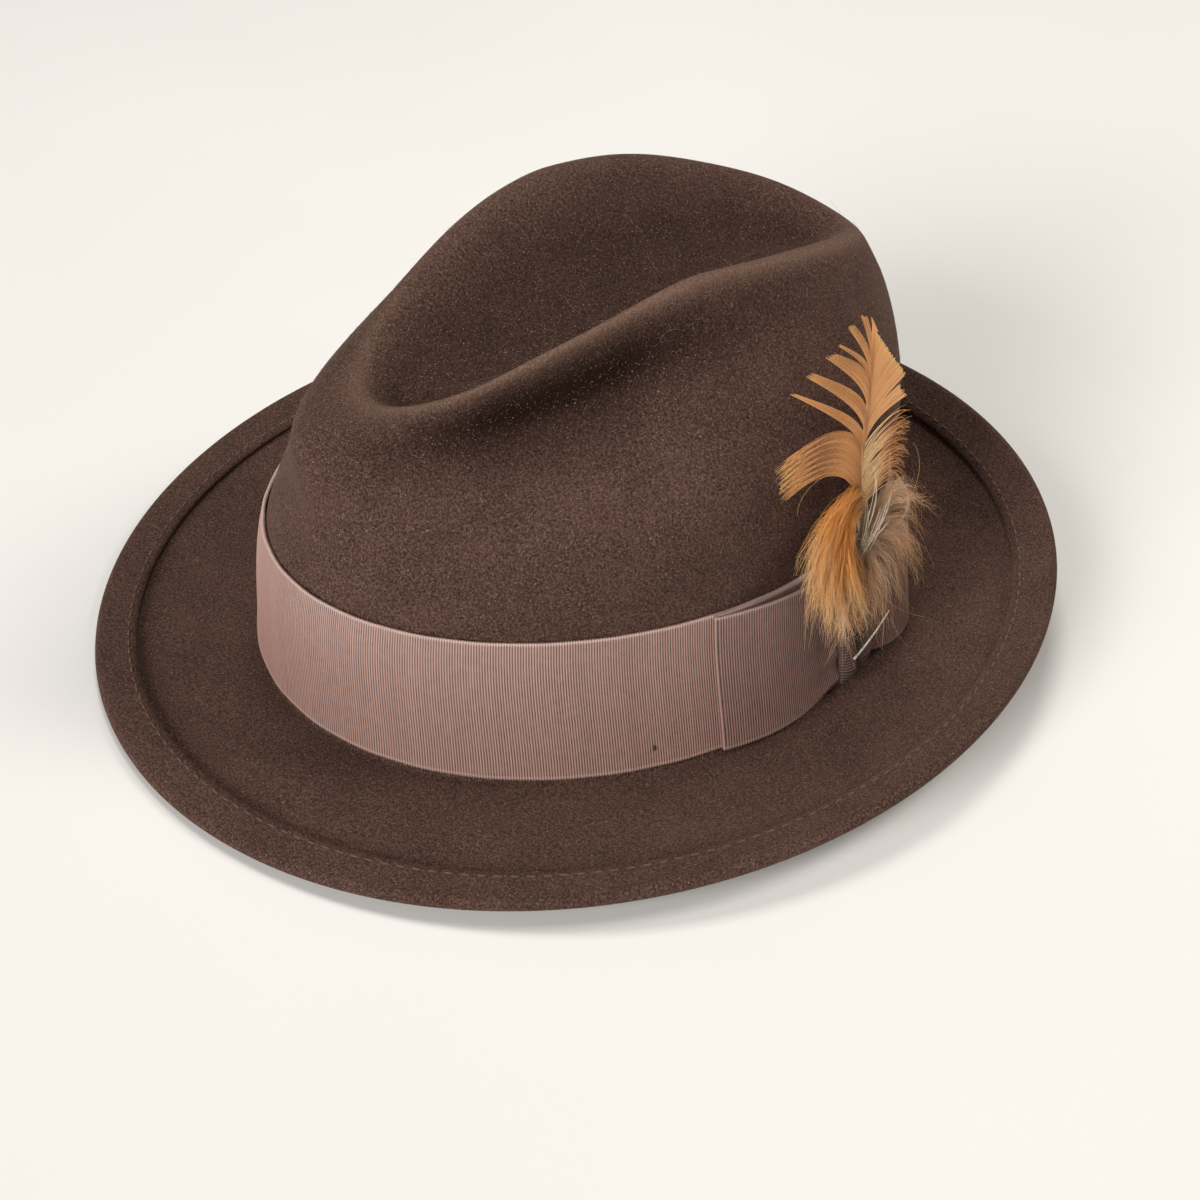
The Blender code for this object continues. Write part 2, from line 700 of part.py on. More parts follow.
def make_curled_vane(barbs):
    """The broad vane in front of the quill that curls away from the crown."""
    root_lift = SHAFT_RADIUS + SEAT_GAP + VANE_THICKNESS

    def place(across, climb):
        reach = 1 - across
        lift = root_lift + CURLED_VANE_LIFT * reach ** 2
        middle = (CURLED_VANE_START + CURLED_VANE_END) / 2
        height = (climb - 0.5) * (CURLED_VANE_END - CURLED_VANE_START) * leaf(1 - reach, CURLED_VANE_BLUNTNESS)
        return spray_point(-CURLED_VANE_LENGTH * reach, middle + height, lift)

    shell("curled_feather", barbs, *CURLED_VANE_GRID, place, 0, VANE_THICKNESS)


def make_pale_vane(barbs):
    """The pale barbs that show behind the tall vane on its back side."""
    lift = -SHAFT_RADIUS - 2 * SEAT_GAP - VANE_THICKNESS

    def place(across, climb):
        side = across * PALE_VANE_WIDTH * leaf(climb, PALE_VANE_BLUNTNESS)
        return spray_point(side, vane_start() + climb * (PALE_VANE_END - vane_start()), lift)

    shell("pale_feather", barbs, *PALE_VANE_GRID, place, 0, VANE_THICKNESS)


def fluff_lift():
    """Inner face of the soft down, which lies on the front of the knot."""
    return knot_lift() + RIBBON_THICKNESS + FLUFF_CLEARANCE - SHAFT_RADIUS


def make_fluff(name, barbs, direction, width, top, wing_loft):
    """A soft tuft of down on one side of the quill, lifted over the bow's wing."""
    root_lift = fluff_lift() + FLUFF_THICKNESS

    def place(across, climb):
        inner = STUB_RADIUS
        outer = inner + width * leaf(climb, FLUFF_BLUNTNESS)
        share = across if direction > 0 else 1 - across
        side = direction * (inner + (outer - inner) * share)
        lift = root_lift + wing_loft * share ** 2
        return spray_point(side, FLUFF_FOOT + climb * (top - FLUFF_FOOT), lift)

    shell(name, barbs, *FLUFF_GRID, place, 0, FLUFF_THICKNESS)


def make_quill_stub(horn):
    """The cut end of a second quill, lying across the knot."""
    lift = fluff_lift() + STUB_RADIUS
    sides = [STUB_START + STUB_LENGTH * step / STUB_STEPS for step in range(STUB_STEPS + 1)]
    points = [spray_point(side, STUB_RISE, lift) for side in sides]
    tube("quill_stub", horn, points, STUB_RADIUS)


def seat_on_floor(root):
    """Move the finished hat so that its lowest point is at zero height and its box is centred."""
    graph = bpy.context.evaluated_depsgraph_get()
    body = bpy.data.objects["felt_body"].evaluated_get(graph)
    corners = [corner.co for corner in body.data.vertices]
    low = [min(corner[axis] for corner in corners) for axis in range(3)]
    high = [max(corner[axis] for corner in corners) for axis in range(3)]
    root.location = (-(low[0] + high[0]) / 2, -(low[1] + high[1]) / 2, -low[2])


def main():
    clear_scene()
    collection = bpy.data.collections.new("fedora_hat")
    bpy.context.scene.collection.children.link(collection)
    felt = material("brown_felt", (0.045, 0.023, 0.017), 0.95)
    ribbon = material("mauve_grosgrain", (0.190, 0.110, 0.095), 0.65)
    brown_thread = material("tan_thread", (0.230, 0.115, 0.060), 0.7)
    leather = material("tan_leather", (0.250, 0.120, 0.060), 0.5)
    satin = material("brown_satin", (0.130, 0.080, 0.060), 0.35)
    plastic = material("reed_plastic", (0.300, 0.250, 0.200), 0.4)
    horn = material("quill_horn", (0.620, 0.560, 0.480), 0.4)
    tan_barbs = material("tan_barbs", (0.560, 0.270, 0.090), 0.7)
    orange_down = material("orange_down", (0.680, 0.270, 0.050), 0.85)
    pale_barbs = material("pale_barbs", (0.600, 0.520, 0.430), 0.75)
    grey_down = material("grey_down", (0.260, 0.200, 0.170), 0.9)

    make_felt_body(felt)
    make_welt_stitching(brown_thread)
    make_hat_band(ribbon)
    make_bow_wing("bow_front_wing", ribbon, -1, FRONT_WING_LENGTH, FRONT_WING_LOFT)
    make_bow_wing("bow_rear_wing", ribbon, 1, REAR_WING_LENGTH, REAR_WING_LOFT)
    make_bow_knot(ribbon)
    make_band_tacks(brown_thread)
    make_sweatband(leather)
    make_reed(plastic)
    make_sweatband_stitching(brown_thread)
    make_sweatband_bow(ribbon)
    make_lining(satin)
    make_lining_piping(satin)
    make_feather_shaft(horn)
    make_spray_binding(brown_thread)
    make_main_vane(tan_barbs)
    make_curled_vane(tan_barbs)
    make_pale_vane(pale_barbs)
    make_fluff("orange_hackle", orange_down, -1, HACKLE_WIDTH, CURLED_VANE_START - SEAT_GAP,
               FRONT_WING_LOFT)
    make_fluff("grey_down", grey_down, 1, DOWN_WIDTH, DOWN_TOP, REAR_WING_LOFT)
    make_quill_stub(horn)

    root = bpy.data.objects.new("fedora_hat_root", None)
    collection.objects.link(root)
    for item in collection.objects:
        if item is not root:
            item.parent = root
    seat_on_floor(root)
    bpy.context.view_layer.update()


main()
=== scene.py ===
"""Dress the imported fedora: felt, ribbed ribbon, feathers and the inside of the crown.

Metres, +Z up. -Y is the front of the hat and +X is the wearer's left, where the bow is.
Azimuths go round the crown from 0 at the front to a quarter turn at +X.
"""
import json
import math

import bmesh
import bpy
import numpy as np
from mathutils import Matrix


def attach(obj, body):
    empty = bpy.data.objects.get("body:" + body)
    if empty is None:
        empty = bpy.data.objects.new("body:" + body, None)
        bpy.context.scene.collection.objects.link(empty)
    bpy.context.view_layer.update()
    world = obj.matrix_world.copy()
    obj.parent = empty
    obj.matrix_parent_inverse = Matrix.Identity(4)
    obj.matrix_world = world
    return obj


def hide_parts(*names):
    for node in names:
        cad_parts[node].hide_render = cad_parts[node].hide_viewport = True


bl_info = {
    "name": "Fedora Hat",
    "version": (1, 0, 0),
    "blender": (4, 5, 0),
    "location": "View3D > Sidebar > Fedora",
    "description": "Dresses the packed fedora with felt, ribbed ribbon, feathers and lining",
    "category": "Object",
}

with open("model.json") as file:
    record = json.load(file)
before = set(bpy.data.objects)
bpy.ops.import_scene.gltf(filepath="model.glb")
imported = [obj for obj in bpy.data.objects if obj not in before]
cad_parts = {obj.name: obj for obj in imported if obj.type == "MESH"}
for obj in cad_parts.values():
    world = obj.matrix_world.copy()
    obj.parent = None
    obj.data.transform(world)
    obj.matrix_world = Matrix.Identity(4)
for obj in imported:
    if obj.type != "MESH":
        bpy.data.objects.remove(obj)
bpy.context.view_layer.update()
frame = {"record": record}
HAT_BODY = "hat"
SPRAY_BODY = "feather_spray"
SPRAY_JOINT = frame["record"]["behaviour"]["joints"][0]

# Brim, as in the part's source
HAT_LENGTH = 0.3025
HAT_WIDTH = 0.2790
FELT_THICKNESS = 0.0018
BREAK_RADIUS = 0.0020
BREAK_FRONT_LIFT = 0.0015
EDGE_REAR_RISE = 0.0220
EDGE_REAR_POWER = 1.45
EDGE_SIDE_RISE = 0.0035
BRIM_CURL_POWER = 1.7
WELT_WIDTH = 0.0105
WELT_GAP = 0.0004

# Crown sections, as in the part's source
CROWN_LENGTH = 0.2040
CROWN_WIDTH = 0.1720
WALL_HEIGHT = 0.0430
WALL_TOP_LENGTH = 0.1970
WALL_TOP_WIDTH = 0.1560
WALL_TOP_TAPER = 0.05
BULGE_LENGTH = 0.1939
BULGE_WIDTH = 0.1464
BULGE_SHIFT = 0.0050
BULGE_TAPER = 0.077
BULGE_SHARE = 0.36
SHOULDER_LENGTH = 0.1924
SHOULDER_WIDTH = 0.1053
SHOULDER_SHIFT = 0.0029
SHOULDER_TAPER = 0.035
SHOULDER_SHARE = 0.84
PINCH_DEPTH = 0.0150
PINCH_SKEW = 0.35
PINCH_AZIMUTH = math.radians(53)
PINCH_SPREAD = math.radians(36)
DIP_DEPTH = 0.0120
DIP_AZIMUTH = math.radians(68)
DIP_SPREAD = math.radians(34)
RIDGE_LENGTH = 0.1622
RIDGE_WIDTH = 0.0773
RIDGE_SHIFT = 0.0114
RIDGE_TAPER = 0.07
RIDGE_HEIGHT = 0.1274
RIDGE_FRONT_DROP = 0.0328
RIDGE_FRONT_POWER = 1.45
RIDGE_REAR_DROP = 0.0194
CREASE_LENGTH = 0.1120
CREASE_SHIFT = 0.0040
CREASE_HEIGHT = 0.0970
CREASE_FALL = 0.0055
CREASE_WALL_SHARE = 0.55
CREASE_WALL_SAG = 0.0035
RIDGE_SECTION = 4
CREASE_SECTION = 6

# Ribbon, inside and quill, as in the part's source
SEAT_GAP = 0.0003
RIBBON_WIDTH = 0.0425
RIBBON_THICKNESS = 0.0008
BAND_BUTT_GAP = 0.0010
BOW_AZIMUTH = math.radians(113)
FRONT_WING_LENGTH = 0.0465
REAR_WING_LENGTH = 0.0480
FRONT_WING_LOFT = 0.0016
REAR_WING_LOFT = 0.0060
KNOT_WIDTH = 0.0200
KNOT_HEIGHT = 0.0380
KNOT_ROUNDNESS = 0.6
TACK_RADIUS = 0.0004
TACK_HEIGHT = 0.0050
TACK_AZIMUTHS = [math.radians(angle) for angle in (73, -55, -150)]
SWEATBAND_HEIGHT = 0.0480
SWEATBAND_THICKNESS = 0.0011
SWEATBAND_SEAM_GAP = 0.0006
REED_RADIUS = 0.0011
LINING_THICKNESS = 0.0005
LINING_CLEARANCE = 0.0008
LINING_SEAM_SPACE = 0.07
PIPING_RADIUS = 0.0008
WELT_STITCH_INSET = 0.0082
SWEATBAND_STITCH_HEIGHT = 0.0055
SMALL_BOW_LENGTH = 0.0170
SMALL_BOW_HEIGHT = 0.0070
SMALL_BOW_LEVEL = 0.0140
SHAFT_RADIUS = 0.0010
SHAFT_TIP_RADIUS = 0.0004
SHAFT_LENGTH = 0.0980
SHAFT_FOOT_HEIGHT = 0.0140
SPRAY_CURVE_RADIUS = 0.0950
BINDING_RADIUS = 0.0005
STUB_LENGTH = 0.0185
STUB_RISE = 0.0030

# Bow of the crease's floor, and hand-shaped swells of the crown that fade out towards the band
CREASE_SIDE = 0.0090
BROAD_SWELL = 0.0005
SMALL_SWELL = 0.0002
BROAD_WAVES = (((9, 0, 13), 1.1), ((0, 7, -5), 0.4))
SMALL_WAVE = ((21, 17, 11), 0)
SWELL_START_SECTION = 1.1
SWELL_FADE = 0.6

# Painted highlight with wear along the ridge, painted shade in the dents and the crease, nap and loose hairs
# of the felt
# Painted highlight with wear: the felt is made lighter along the top of the ridge, more on the wearer's left
WEAR_AND_LIGHT_SECTION = 3.92
WEAR_AND_LIGHT_SPREAD = 0.20
WEAR_AND_LIGHT_SKEW = 0.4
# Painted shade: the felt is made darker and redder in the dents under the ridge and down in the crease
DENT_SHADE_SECTION = 3.25
DENT_SHADE_SPREAD = 0.45
PINCH_SHADE = 0.5
DIP_SHADE = 0.6
CREASE_SHADE = 0.52
CREASE_SHADE_START = 0.2
CREASE_SHADE_FADE = 0.6
PAINTED_SHADE_TINT = (0.12, 0.05, 0.02)
NAP_SEED = 7
NAP_END_SECTION = 1.03
NAP_BRIM_ROWS = slice(3, -5)
FIBRE_BEND = (0.35, 0.1, 0.45)
FIBRE_TIP = (1.0, 0.2, 0.35)
FIBRE_TILT = (0.6, 0.6)
FIBRE_LENGTHS = (0.45, 1.3)
STRAY_SEED = 5
STRAY_COUNT = 60
STRAY_ROWS = (8, 48)
STRAY_LENGTHS = (0.003, 0.009)
STRAY_CURL = 2.2
STRAY_FOOT = 0.4
STRAY_LIFT = 0.0003
STRAY_RADIUS = 0.00003

# Painted shade of the bow and the knot, tack tone, ease, folds and stitches of the ribbon, the sweatband and
# the lining
# Painted shade: darker copies of the band's ribbon for the bow and the knot
BOW_SHADE = 0.72
KNOT_SHADE = 0.26
BAND_EASE = 0.00015
BAND_WAVES = (0.043, 0.031)
UPPER_LOOP_SHARE = 0.5
GATHER_SHARE = 0.16
GATHER_LENGTH = 0.0090
PUCKER_DEPTH = 0.0012
PUCKER_PITCH = 0.0105
PUCKER_PHASE = 0.8
PLEAT_FRONT = -0.0050
PLEAT_BACK = 0.0100
PLEAT_SPLIT = 0.34
PLEAT_SLANT = 0.0020
PLEAT_CLOSING = 0.0040
SMALL_BOW_WAIST = 0.35
SMALL_BOW_FOLD = 0.0005
SMALL_BOW_FOLDS = 3
WELT_STITCH_LIFT = 0.6
INSIDE_STITCH_LIFT = 0.5
INSIDE_PITCH_SHARE = 0.8
TACK_LENGTH = 0.0018
TACK_LIFT = 0.4
TACK_END_SHARE = 0.5
TACK_SHADE = 0.35
SWEATBAND_SAG = 0.0004
SWEATBAND_WAVES = 11
SWEATBAND_PHASE = 0.5
SWEATBAND_EDGE = (1.1, 8, 0.3)
LINING_START_SECTION = 1.0
LINING_SEAM_SECTION = 2.5
LINING_FOLDS = 46
LINING_FOLD_HEIGHT = 0.0007
LINING_FOLD_DRIFT = 1.5
LINING_DRIFT_WAVES = 5
LINING_FOLD_FADE = 0.25
PIPING_TURNS = 110
PLY_OFFSET = 0.45
PLY_RADIUS = 0.55

# Feathers: groups of barbs and guide curves, in millimetres beside, along and above the quill
QUILL_BEND = [(0, 0), (31, 0), (40, -2), (50, -2.2), (60, -1.2), (72, 0.8), (85, 2.8), (98, 3.4)]
QUILL_COVER = 0.5
BARB_CLING = 8.5
BARB_STRAIGHTEN = 0.4

# Groups of the tall vane: lowest and highest root, the tips of both, their lift and the number of barbs
TALL_FINGERS = [
    (57.5, 62, (-35, 94), (-34, 94), 3.0, 30),
    (63, 69, (-29.5, 97), (-27.5, 97.5), 2.6, 34),
    (70, 77, (-22.5, 100), (-18.5, 99.5), 2.2, 36),
    (76.5, 79, (-17, 101), (-16, 101), 1.8, 14),
    (77.5, 82, (-12.5, 104.5), (-10, 104.5), 1.4, 24),
    (81, 85, (-6, 105.5), (-2.5, 103.5), 1.0, 22),
    (84, 88, (0.5, 102), (4.5, 96), 0.8, 14),
    (64, 82, (22.5, 75), (3.5, 96.5), 0.8, 96),
    (61, 64, (24, 67.5), (19.5, 73), 0.6, 22),
]
CURLED_EDGES = [
    [(-3.5, 63.5, 0.9), (-4.5, 70, 1.2), (-22, 84, 2.0), (-43, 76, 8.0)],
    [(-2.5, 42, 1.2), (-7, 58, 1.6), (-22, 70, 3.0), (-40.5, 65, 7.0)],
]

# Barbs behind the quill: value at the lowest and the highest barb, and how much each one is moved at random
PALE_ROOTS = (38, 60, 1.0)
PALE_REACH = (20, 25, 2.0)
PALE_CLIMB = (8, 3, 1.3)
PALE_DROOP = (7, 2, 1.6)
PALE_LIFT = (1.2, 0.2)

# Loose barbs, and guide curves between which the streaks, the hackle and the down are fanned out
LOOSE_BARBS = [
    [(-5, 40, 5), (-14, 22, 9), (4, 8, 9), (28, -9, 8)],
    [(-8, 52, 2), (-20, 72, 4), (-37, 68, 8), (-36, 60, 8)],
    [(-4, 36, 4), (-16, 40, 6), (-15, 46, 6), (-17, 53, 6)],
    [(4, 34, 5), (24, 36, 7), (29, 46, 5), (22, 54, 4)],
]
STREAK_GUIDES = [
    [(-5, 33, 3), (-6, 42, 5), (-3, 52, 5), (2, 61, 3)],
    [(-7, 31, 4), (-7, 38, 7), (-3, 46, 7), (3, 52, 5)],
    [(-8, 30, 5), (-7, 33, 8), (-3, 36, 8), (2, 38, 6)],
]
HACKLE_GUIDES = [
    [(-5, 50, 1.5), (-17, 62, 6), (-30, 54, 9), (-29, 32, 7)],
    [(-5, 48, 1.5), (-22, 58, 6), (-28, 40, 9), (-26, 17, 7)],
    [(-5, 45, 1.5), (-20, 50, 6), (-20, 27, 9), (-2, 7, 7)],
]
DOWN_GUIDES = [
    [(-2, 39, 2.5), (5, 50, 5), (13, 50, 7), (20, 38, 6)],
    [(-3, 37, 2.5), (3, 47, 6), (15, 43, 8), (22, 20, 7.5)],
    [(-4, 36, 2.5), (-4, 40, 6), (10, 30, 9), (16, 5, 8)],
    [(-4, 34, 2.5), (-8, 27, 6), (-5, 18, 9), (-4.5, 8, 8)],
    [(-5, 34, 2.5), (-18, 33, 6), (-24, 22, 9), (-22, 10, 7)],
]

# Numbers of barbs and locks, and shares of their length, thickness and tone
TALL_SEED = 11
TALL_SPILL = 0.04
TALL_TONE = (0.6, 0.12)
POINT_PALENESS = 0.3
CURLED_SEED = 23
CURLED_BARBS = 200
CURLED_SPILL = 0.10
CURLED_TONE = (0.56, 0.2)
CURLED_TUFTS = 7
TUFT_START = 4
TUFT_DROP = 0.0012
TUFT_LIFT = 0.0005
PALE_SEED = 31
PALE_BARBS = 120
PALE_HOOK = (0.85, 1.6)
PALE_LENGTHS = (0.85, 1.0)
PALE_THICKNESS = (0.5, 1.0)
PALE_FOOT_SIDE = 1
PALE_FOOT_LIFT = 0.3
PALE_TIP_LIFT = 1.5
PALE_TIP_SHARE = 0.45
PALE_TONES = (0.05, 0.95)
STREAK_LOCKS = (8, 3, 0.6)
STREAK_SPREAD = 0.8
STREAK_TAPER = (0.6, 0.25)
STREAK_DARKEST = 0.7
FLUFF_SEED = 47
FLUFF_TIP_SHARE = 0.35
HACKLE_LOCKS = (60, 22, 0.72)
DOWN_LOCKS = (70, 18, 0.55)
LOOSE_TONE = 0.8
WAVE_TURNS = (0.8, 2.2)
LOCK_TONES = (0.2, 0.8)
STRAND_TONES = (-0.25, 0.35)

# Spread of the feathers' strands from root to tip, the cut stub and the binding
BARB_STEPS = 14
BARB_TIP_SHARE = 0.6
BARB_OVERLAP = 0.62
THINNEST_BARB = 0.00005
THICKEST_BARB = 0.00022
BARB_UNEVENNESS = 0.00006
DOWN_STEPS = 12
HACKLE_WAVE = 0.0009
DOWN_WAVE = 0.0013
STREAK_WAVE = 0.0001
LOCK_SPREAD = np.array([0.0008, 0.0018, 0.0026, 0.0034])[:, None]
STRAND_SPREAD = np.array([0.0006, 0.0010, 0.0011, 0.0010])[:, None]
STUB_RADIUS = 0.0004
STUB_SIDE = -0.0125
STUB_TILT = 0.0060
STUB_LIFT = 0.0064
STUB_TIP_LOSS = 0.45
STUB_SHADE = 0.75
BINDING_TURNS = 4
BINDING_HEIGHT = 0.0020
BINDING_SHARE = 0.6
MILLIMETRE = 0.001

# Materials: tints of the darkest and palest strands, light inside them, and grains in a metre along each axis
DARK_STRAND = (0.62, 0.48, 0.36)
PALE_STRAND = (1, 0.86, 0.62)
PALE_STRAND_SHARE = 0.20
SCATTER_SHARE = 0.2
SCATTER_DEPTH = 0.0003
SCATTER_COLORS = (1.0, 0.6, 0.35)
SHEEN_ROUGHNESS = 0.4
THREAD_SHEEN = (1, 0.9, 0.8)
HORN_STREAKS = (900, 900, 70)
SATIN_FLOATS = (4200, 4200, 260)
LEATHER_PEBBLES = 950

# Mesh resolution
FELT_COLUMNS = 240
CROWN_STEPS = 60
BREAK_STEPS = 6
BRIM_STEPS = 22
FOLD_STEPS = 8
FLAP_STEPS = 5
PROFILE_STEPS = 56
BAND_STEPS = 1920
COLUMNS_PER_RIB = 4
COLUMNS_PER_KNOT_RIB = 6
RIBBON_ROWS = 9
PLEAT_COLUMNS = 57
SMALL_BOW_ROWS = 13
TACK_STEPS = 7
STITCH_SEGMENTS = 8
STITCH_RINGS = 6
INSIDE_COLUMNS = 200
PIPING_COLUMNS = 600
SWEATBAND_ROWS = 25
LINING_ROWS = 41
SHAFT_STEPS = 60
STUB_STEPS = 12
BINDING_STEPS = 97
TURN_STEP = 0.01
CLIMB_STEP = 0.001
SHARE_STEP = 0.01
WELD_DISTANCE = 0.000002
FULL_TURN = 2 * math.pi

# Floor and lamps. The floor's own pale glow begins and is full at these distances from the hat
FLOOR_DEPTH = 0.0002
NEAR_FLOOR = 0.6
FAR_FLOOR = 1.6
FAR_GLOW = 1.1
LAMP_TARGET = (0, 0, 0.05)
TOP_LAMP = ("top_light", (-0.40, 0.26, 1.40), 0.5, (1, 0.97, 0.93))
FRONT_LAMP = ("front_light", (1.27, -3.49, 1.55), 2.0, (1, 0.98, 0.95))
SIDE_LAMP = ("side_light", (0.75, 1.30, 1.55), 0.7, (1, 0.95, 0.88))

# Photograph's camera
CAMERA_AZIMUTH = math.radians(55)
CAMERA_ELEVATION = math.radians(37.6)
CAMERA_ROLL = math.radians(1.5)
CAMERA_DISTANCE = 0.5791
CAMERA_TARGET = np.array([0.0491, -0.0265, 0.0400])
CAMERA_LENS = 61.48
CAMERA_NEAREST = 0.01


def unit(vectors):
    """Vectors of length one."""
    return vectors / np.linalg.norm(vectors, axis=-1, keepdims=True)


def oval(length, width, azimuth, height, shift=0.0, taper=0.0):
    """Points on a level oval. Shift moves it to the back and taper narrows its front."""
    across = width / 2 * np.sin(azimuth) * (1 - taper * np.cos(azimuth))
    along = shift - length / 2 * np.cos(azimuth)
    return np.stack([across, along, np.broadcast_to(height, across.shape)], axis=-1)


def break_height(azimuth):
    """Height of the brim's top where it meets the crown."""
    return FELT_THICKNESS + BREAK_FRONT_LIFT * (1 + np.cos(azimuth)) / 2


def ridge_height(azimuth):
    """Height of the ridge around the crease, falling to the front and the back."""
    forward = np.cos(azimuth)
    front_drop = RIDGE_FRONT_DROP * np.abs(forward) ** RIDGE_FRONT_POWER
    return RIDGE_HEIGHT - np.where(forward > 0, front_drop, RIDGE_REAR_DROP * forward ** 2)


def pinch(azimuth):
    """Share of the front pinch, deeper on the wearer's left."""
    side = np.abs(np.arctan2(np.sin(azimuth), np.cos(azimuth)))
    return np.exp(-((side - PINCH_AZIMUTH) / PINCH_SPREAD) ** 2) * (1 + PINCH_SKEW * np.sin(azimuth))


def dip(azimuth):
    """Share of the dip that leaves the ridge standing as a roll on the wearer's left."""
    turn = np.arctan2(np.sin(azimuth - DIP_AZIMUTH), np.cos(azimuth - DIP_AZIMUTH))
    return np.exp(-(turn / DIP_SPREAD) ** 2)


def crease_bend(azimuth):
    """How far the crease floor bows to the wearer's left between its ends."""
    return np.sin(azimuth)[:, None] ** 2 * np.array([CREASE_SIDE, 0, 0])


def crown_sections(azimuth):
    """The crown's key sections at each azimuth, from the break to the crease floor."""
    base = oval(CROWN_LENGTH, CROWN_WIDTH, azimuth, break_height(azimuth) + BREAK_RADIUS)
    wall_level = base[:, 2] + WALL_HEIGHT
    wall_top = oval(WALL_TOP_LENGTH, WALL_TOP_WIDTH, azimuth, wall_level, 0, WALL_TOP_TAPER)
    top = ridge_height(azimuth)
    bulge_level = wall_level + (top - wall_level) * BULGE_SHARE
    bulge = oval(BULGE_LENGTH, BULGE_WIDTH, azimuth, bulge_level, BULGE_SHIFT, BULGE_TAPER)
    shoulder_level = wall_level + (top - wall_level) * SHOULDER_SHARE - DIP_DEPTH * dip(azimuth)
    shoulder = oval(SHOULDER_LENGTH, SHOULDER_WIDTH, azimuth, shoulder_level,
                    SHOULDER_SHIFT, SHOULDER_TAPER)
    inward = -unit(shoulder * (1, 1, 0))
    shoulder = shoulder + inward * (PINCH_DEPTH * pinch(azimuth))[:, None]
    ridge = oval(RIDGE_LENGTH, RIDGE_WIDTH, azimuth, top, RIDGE_SHIFT, RIDGE_TAPER)
    floor_level = CREASE_HEIGHT - CREASE_FALL * np.cos(azimuth)
    floor = oval(CREASE_LENGTH, 0, azimuth, floor_level, CREASE_SHIFT) + crease_bend(azimuth)
    crease_wall = ridge + (floor - ridge) * CREASE_WALL_SHARE - (0, 0, CREASE_WALL_SAG)
    return np.stack([base, wall_top, bulge, shoulder, ridge, crease_wall, floor])


def slope_at(before, here, after):
    """Direction of the smooth profile at a section, for unequal spacing."""
    first = np.linalg.norm(here - before, axis=-1, keepdims=True)
    second = np.linalg.norm(after - here, axis=-1, keepdims=True)
    return ((here - before) / first * second + (after - here) / second * first) / (first + second)


def crown_rows(azimuth, sections):
    """Rows of points on the crown's outside, one row for each section number."""
    keys = crown_sections(azimuth)
    below = 2 * keys[:1] - keys[1:2]
    across = keys[-2:-1] * (-1, 1, 1) + 2 * CREASE_WALL_SHARE * crease_bend(azimuth)
    knots = np.concatenate([below, keys, across])
    rows = []
    for section in sections:
        index = min(int(section), CREASE_SECTION - 1)
        share = section - index
        before, start, end, after = knots[index:index + 4]
        span = np.linalg.norm(end - start, axis=-1, keepdims=True)
        start_slope = slope_at(before, start, end) * span
        end_slope = slope_at(start, end, after) * span
        square, cube = share ** 2, share ** 3
        rows.append(start * (2 * cube - 3 * square + 1) + start_slope * (cube - 2 * square + share)
                    + end * (3 * square - 2 * cube) + end_slope * (cube - square))
    return np.stack(rows)


def walked_length(points):
    """Distance walked along rows of points, from the first row."""
    steps = np.linalg.norm(np.diff(points, axis=0), axis=-1)
    return np.concatenate([np.zeros_like(steps[:1]), np.cumsum(steps, axis=0)])


def wall_at(azimuth, climb):
    """Points on the felt after climbing this far from the break: rows of climb, columns of azimuth."""
    points = crown_rows(azimuth, np.linspace(0, RIDGE_SECTION, PROFILE_STEPS + 1))
    climbed = walked_length(points)
    columns = np.arange(len(azimuth))
    rows = []
    for level in np.broadcast_to(climb, (len(climb), len(azimuth))):
        low = np.clip((climbed <= level).sum(axis=0) - 1, 0, len(points) - 2)
        start, end = points[low, columns], points[low + 1, columns]
        covered = climbed[low + 1, columns] - climbed[low, columns]
        rows.append(start + (end - start) * ((level - climbed[low, columns]) / covered)[:, None])
    return np.stack(rows)


def wall_normals(azimuth, climb):
    """Outward directions of the crown's wall."""
    along = wall_at(azimuth + TURN_STEP, climb) - wall_at(azimuth - TURN_STEP, climb)
    upward = wall_at(azimuth, climb + CLIMB_STEP) - wall_at(azimuth, np.maximum(climb - CLIMB_STEP, 0))
    return unit(np.cross(along, upward))


def wall_points(azimuth, climb, offset):
    """Points at an offset outside the crown's wall."""
    offset = np.broadcast_to(offset, (len(climb), len(azimuth)))
    return wall_at(azimuth, climb) + wall_normals(azimuth, climb) * offset[..., None]


def wall_turn(azimuth, length):
    """The change of azimuth that covers this length along the band."""
    ends = wall_at(np.array([azimuth - TURN_STEP, azimuth + TURN_STEP]), np.array([[RIBBON_WIDTH / 2]]))
    return length * 2 * TURN_STEP / np.linalg.norm(ends[0, 1] - ends[0, 0])


def even_azimuths(start, end, spacing):
    """Azimuths that step evenly along the band, with the distance walked to each."""
    fine = np.linspace(start, end, BAND_STEPS)
    walked = walked_length(wall_at(fine, np.array([[RIBBON_WIDTH / 2]]))[0])
    lengths = np.linspace(0, walked[-1], round(walked[-1] / spacing) + 1)
    return np.interp(lengths, walked, fine), lengths


def edge_height(azimuth):
    """Height of the brim's top at its edge: down in front, turned up at the back."""
    backward = (1 - np.cos(azimuth)) / 2
    rise = EDGE_REAR_RISE * backward ** EDGE_REAR_POWER
    return FELT_THICKNESS + rise + EDGE_SIDE_RISE * np.sin(azimuth) ** 2


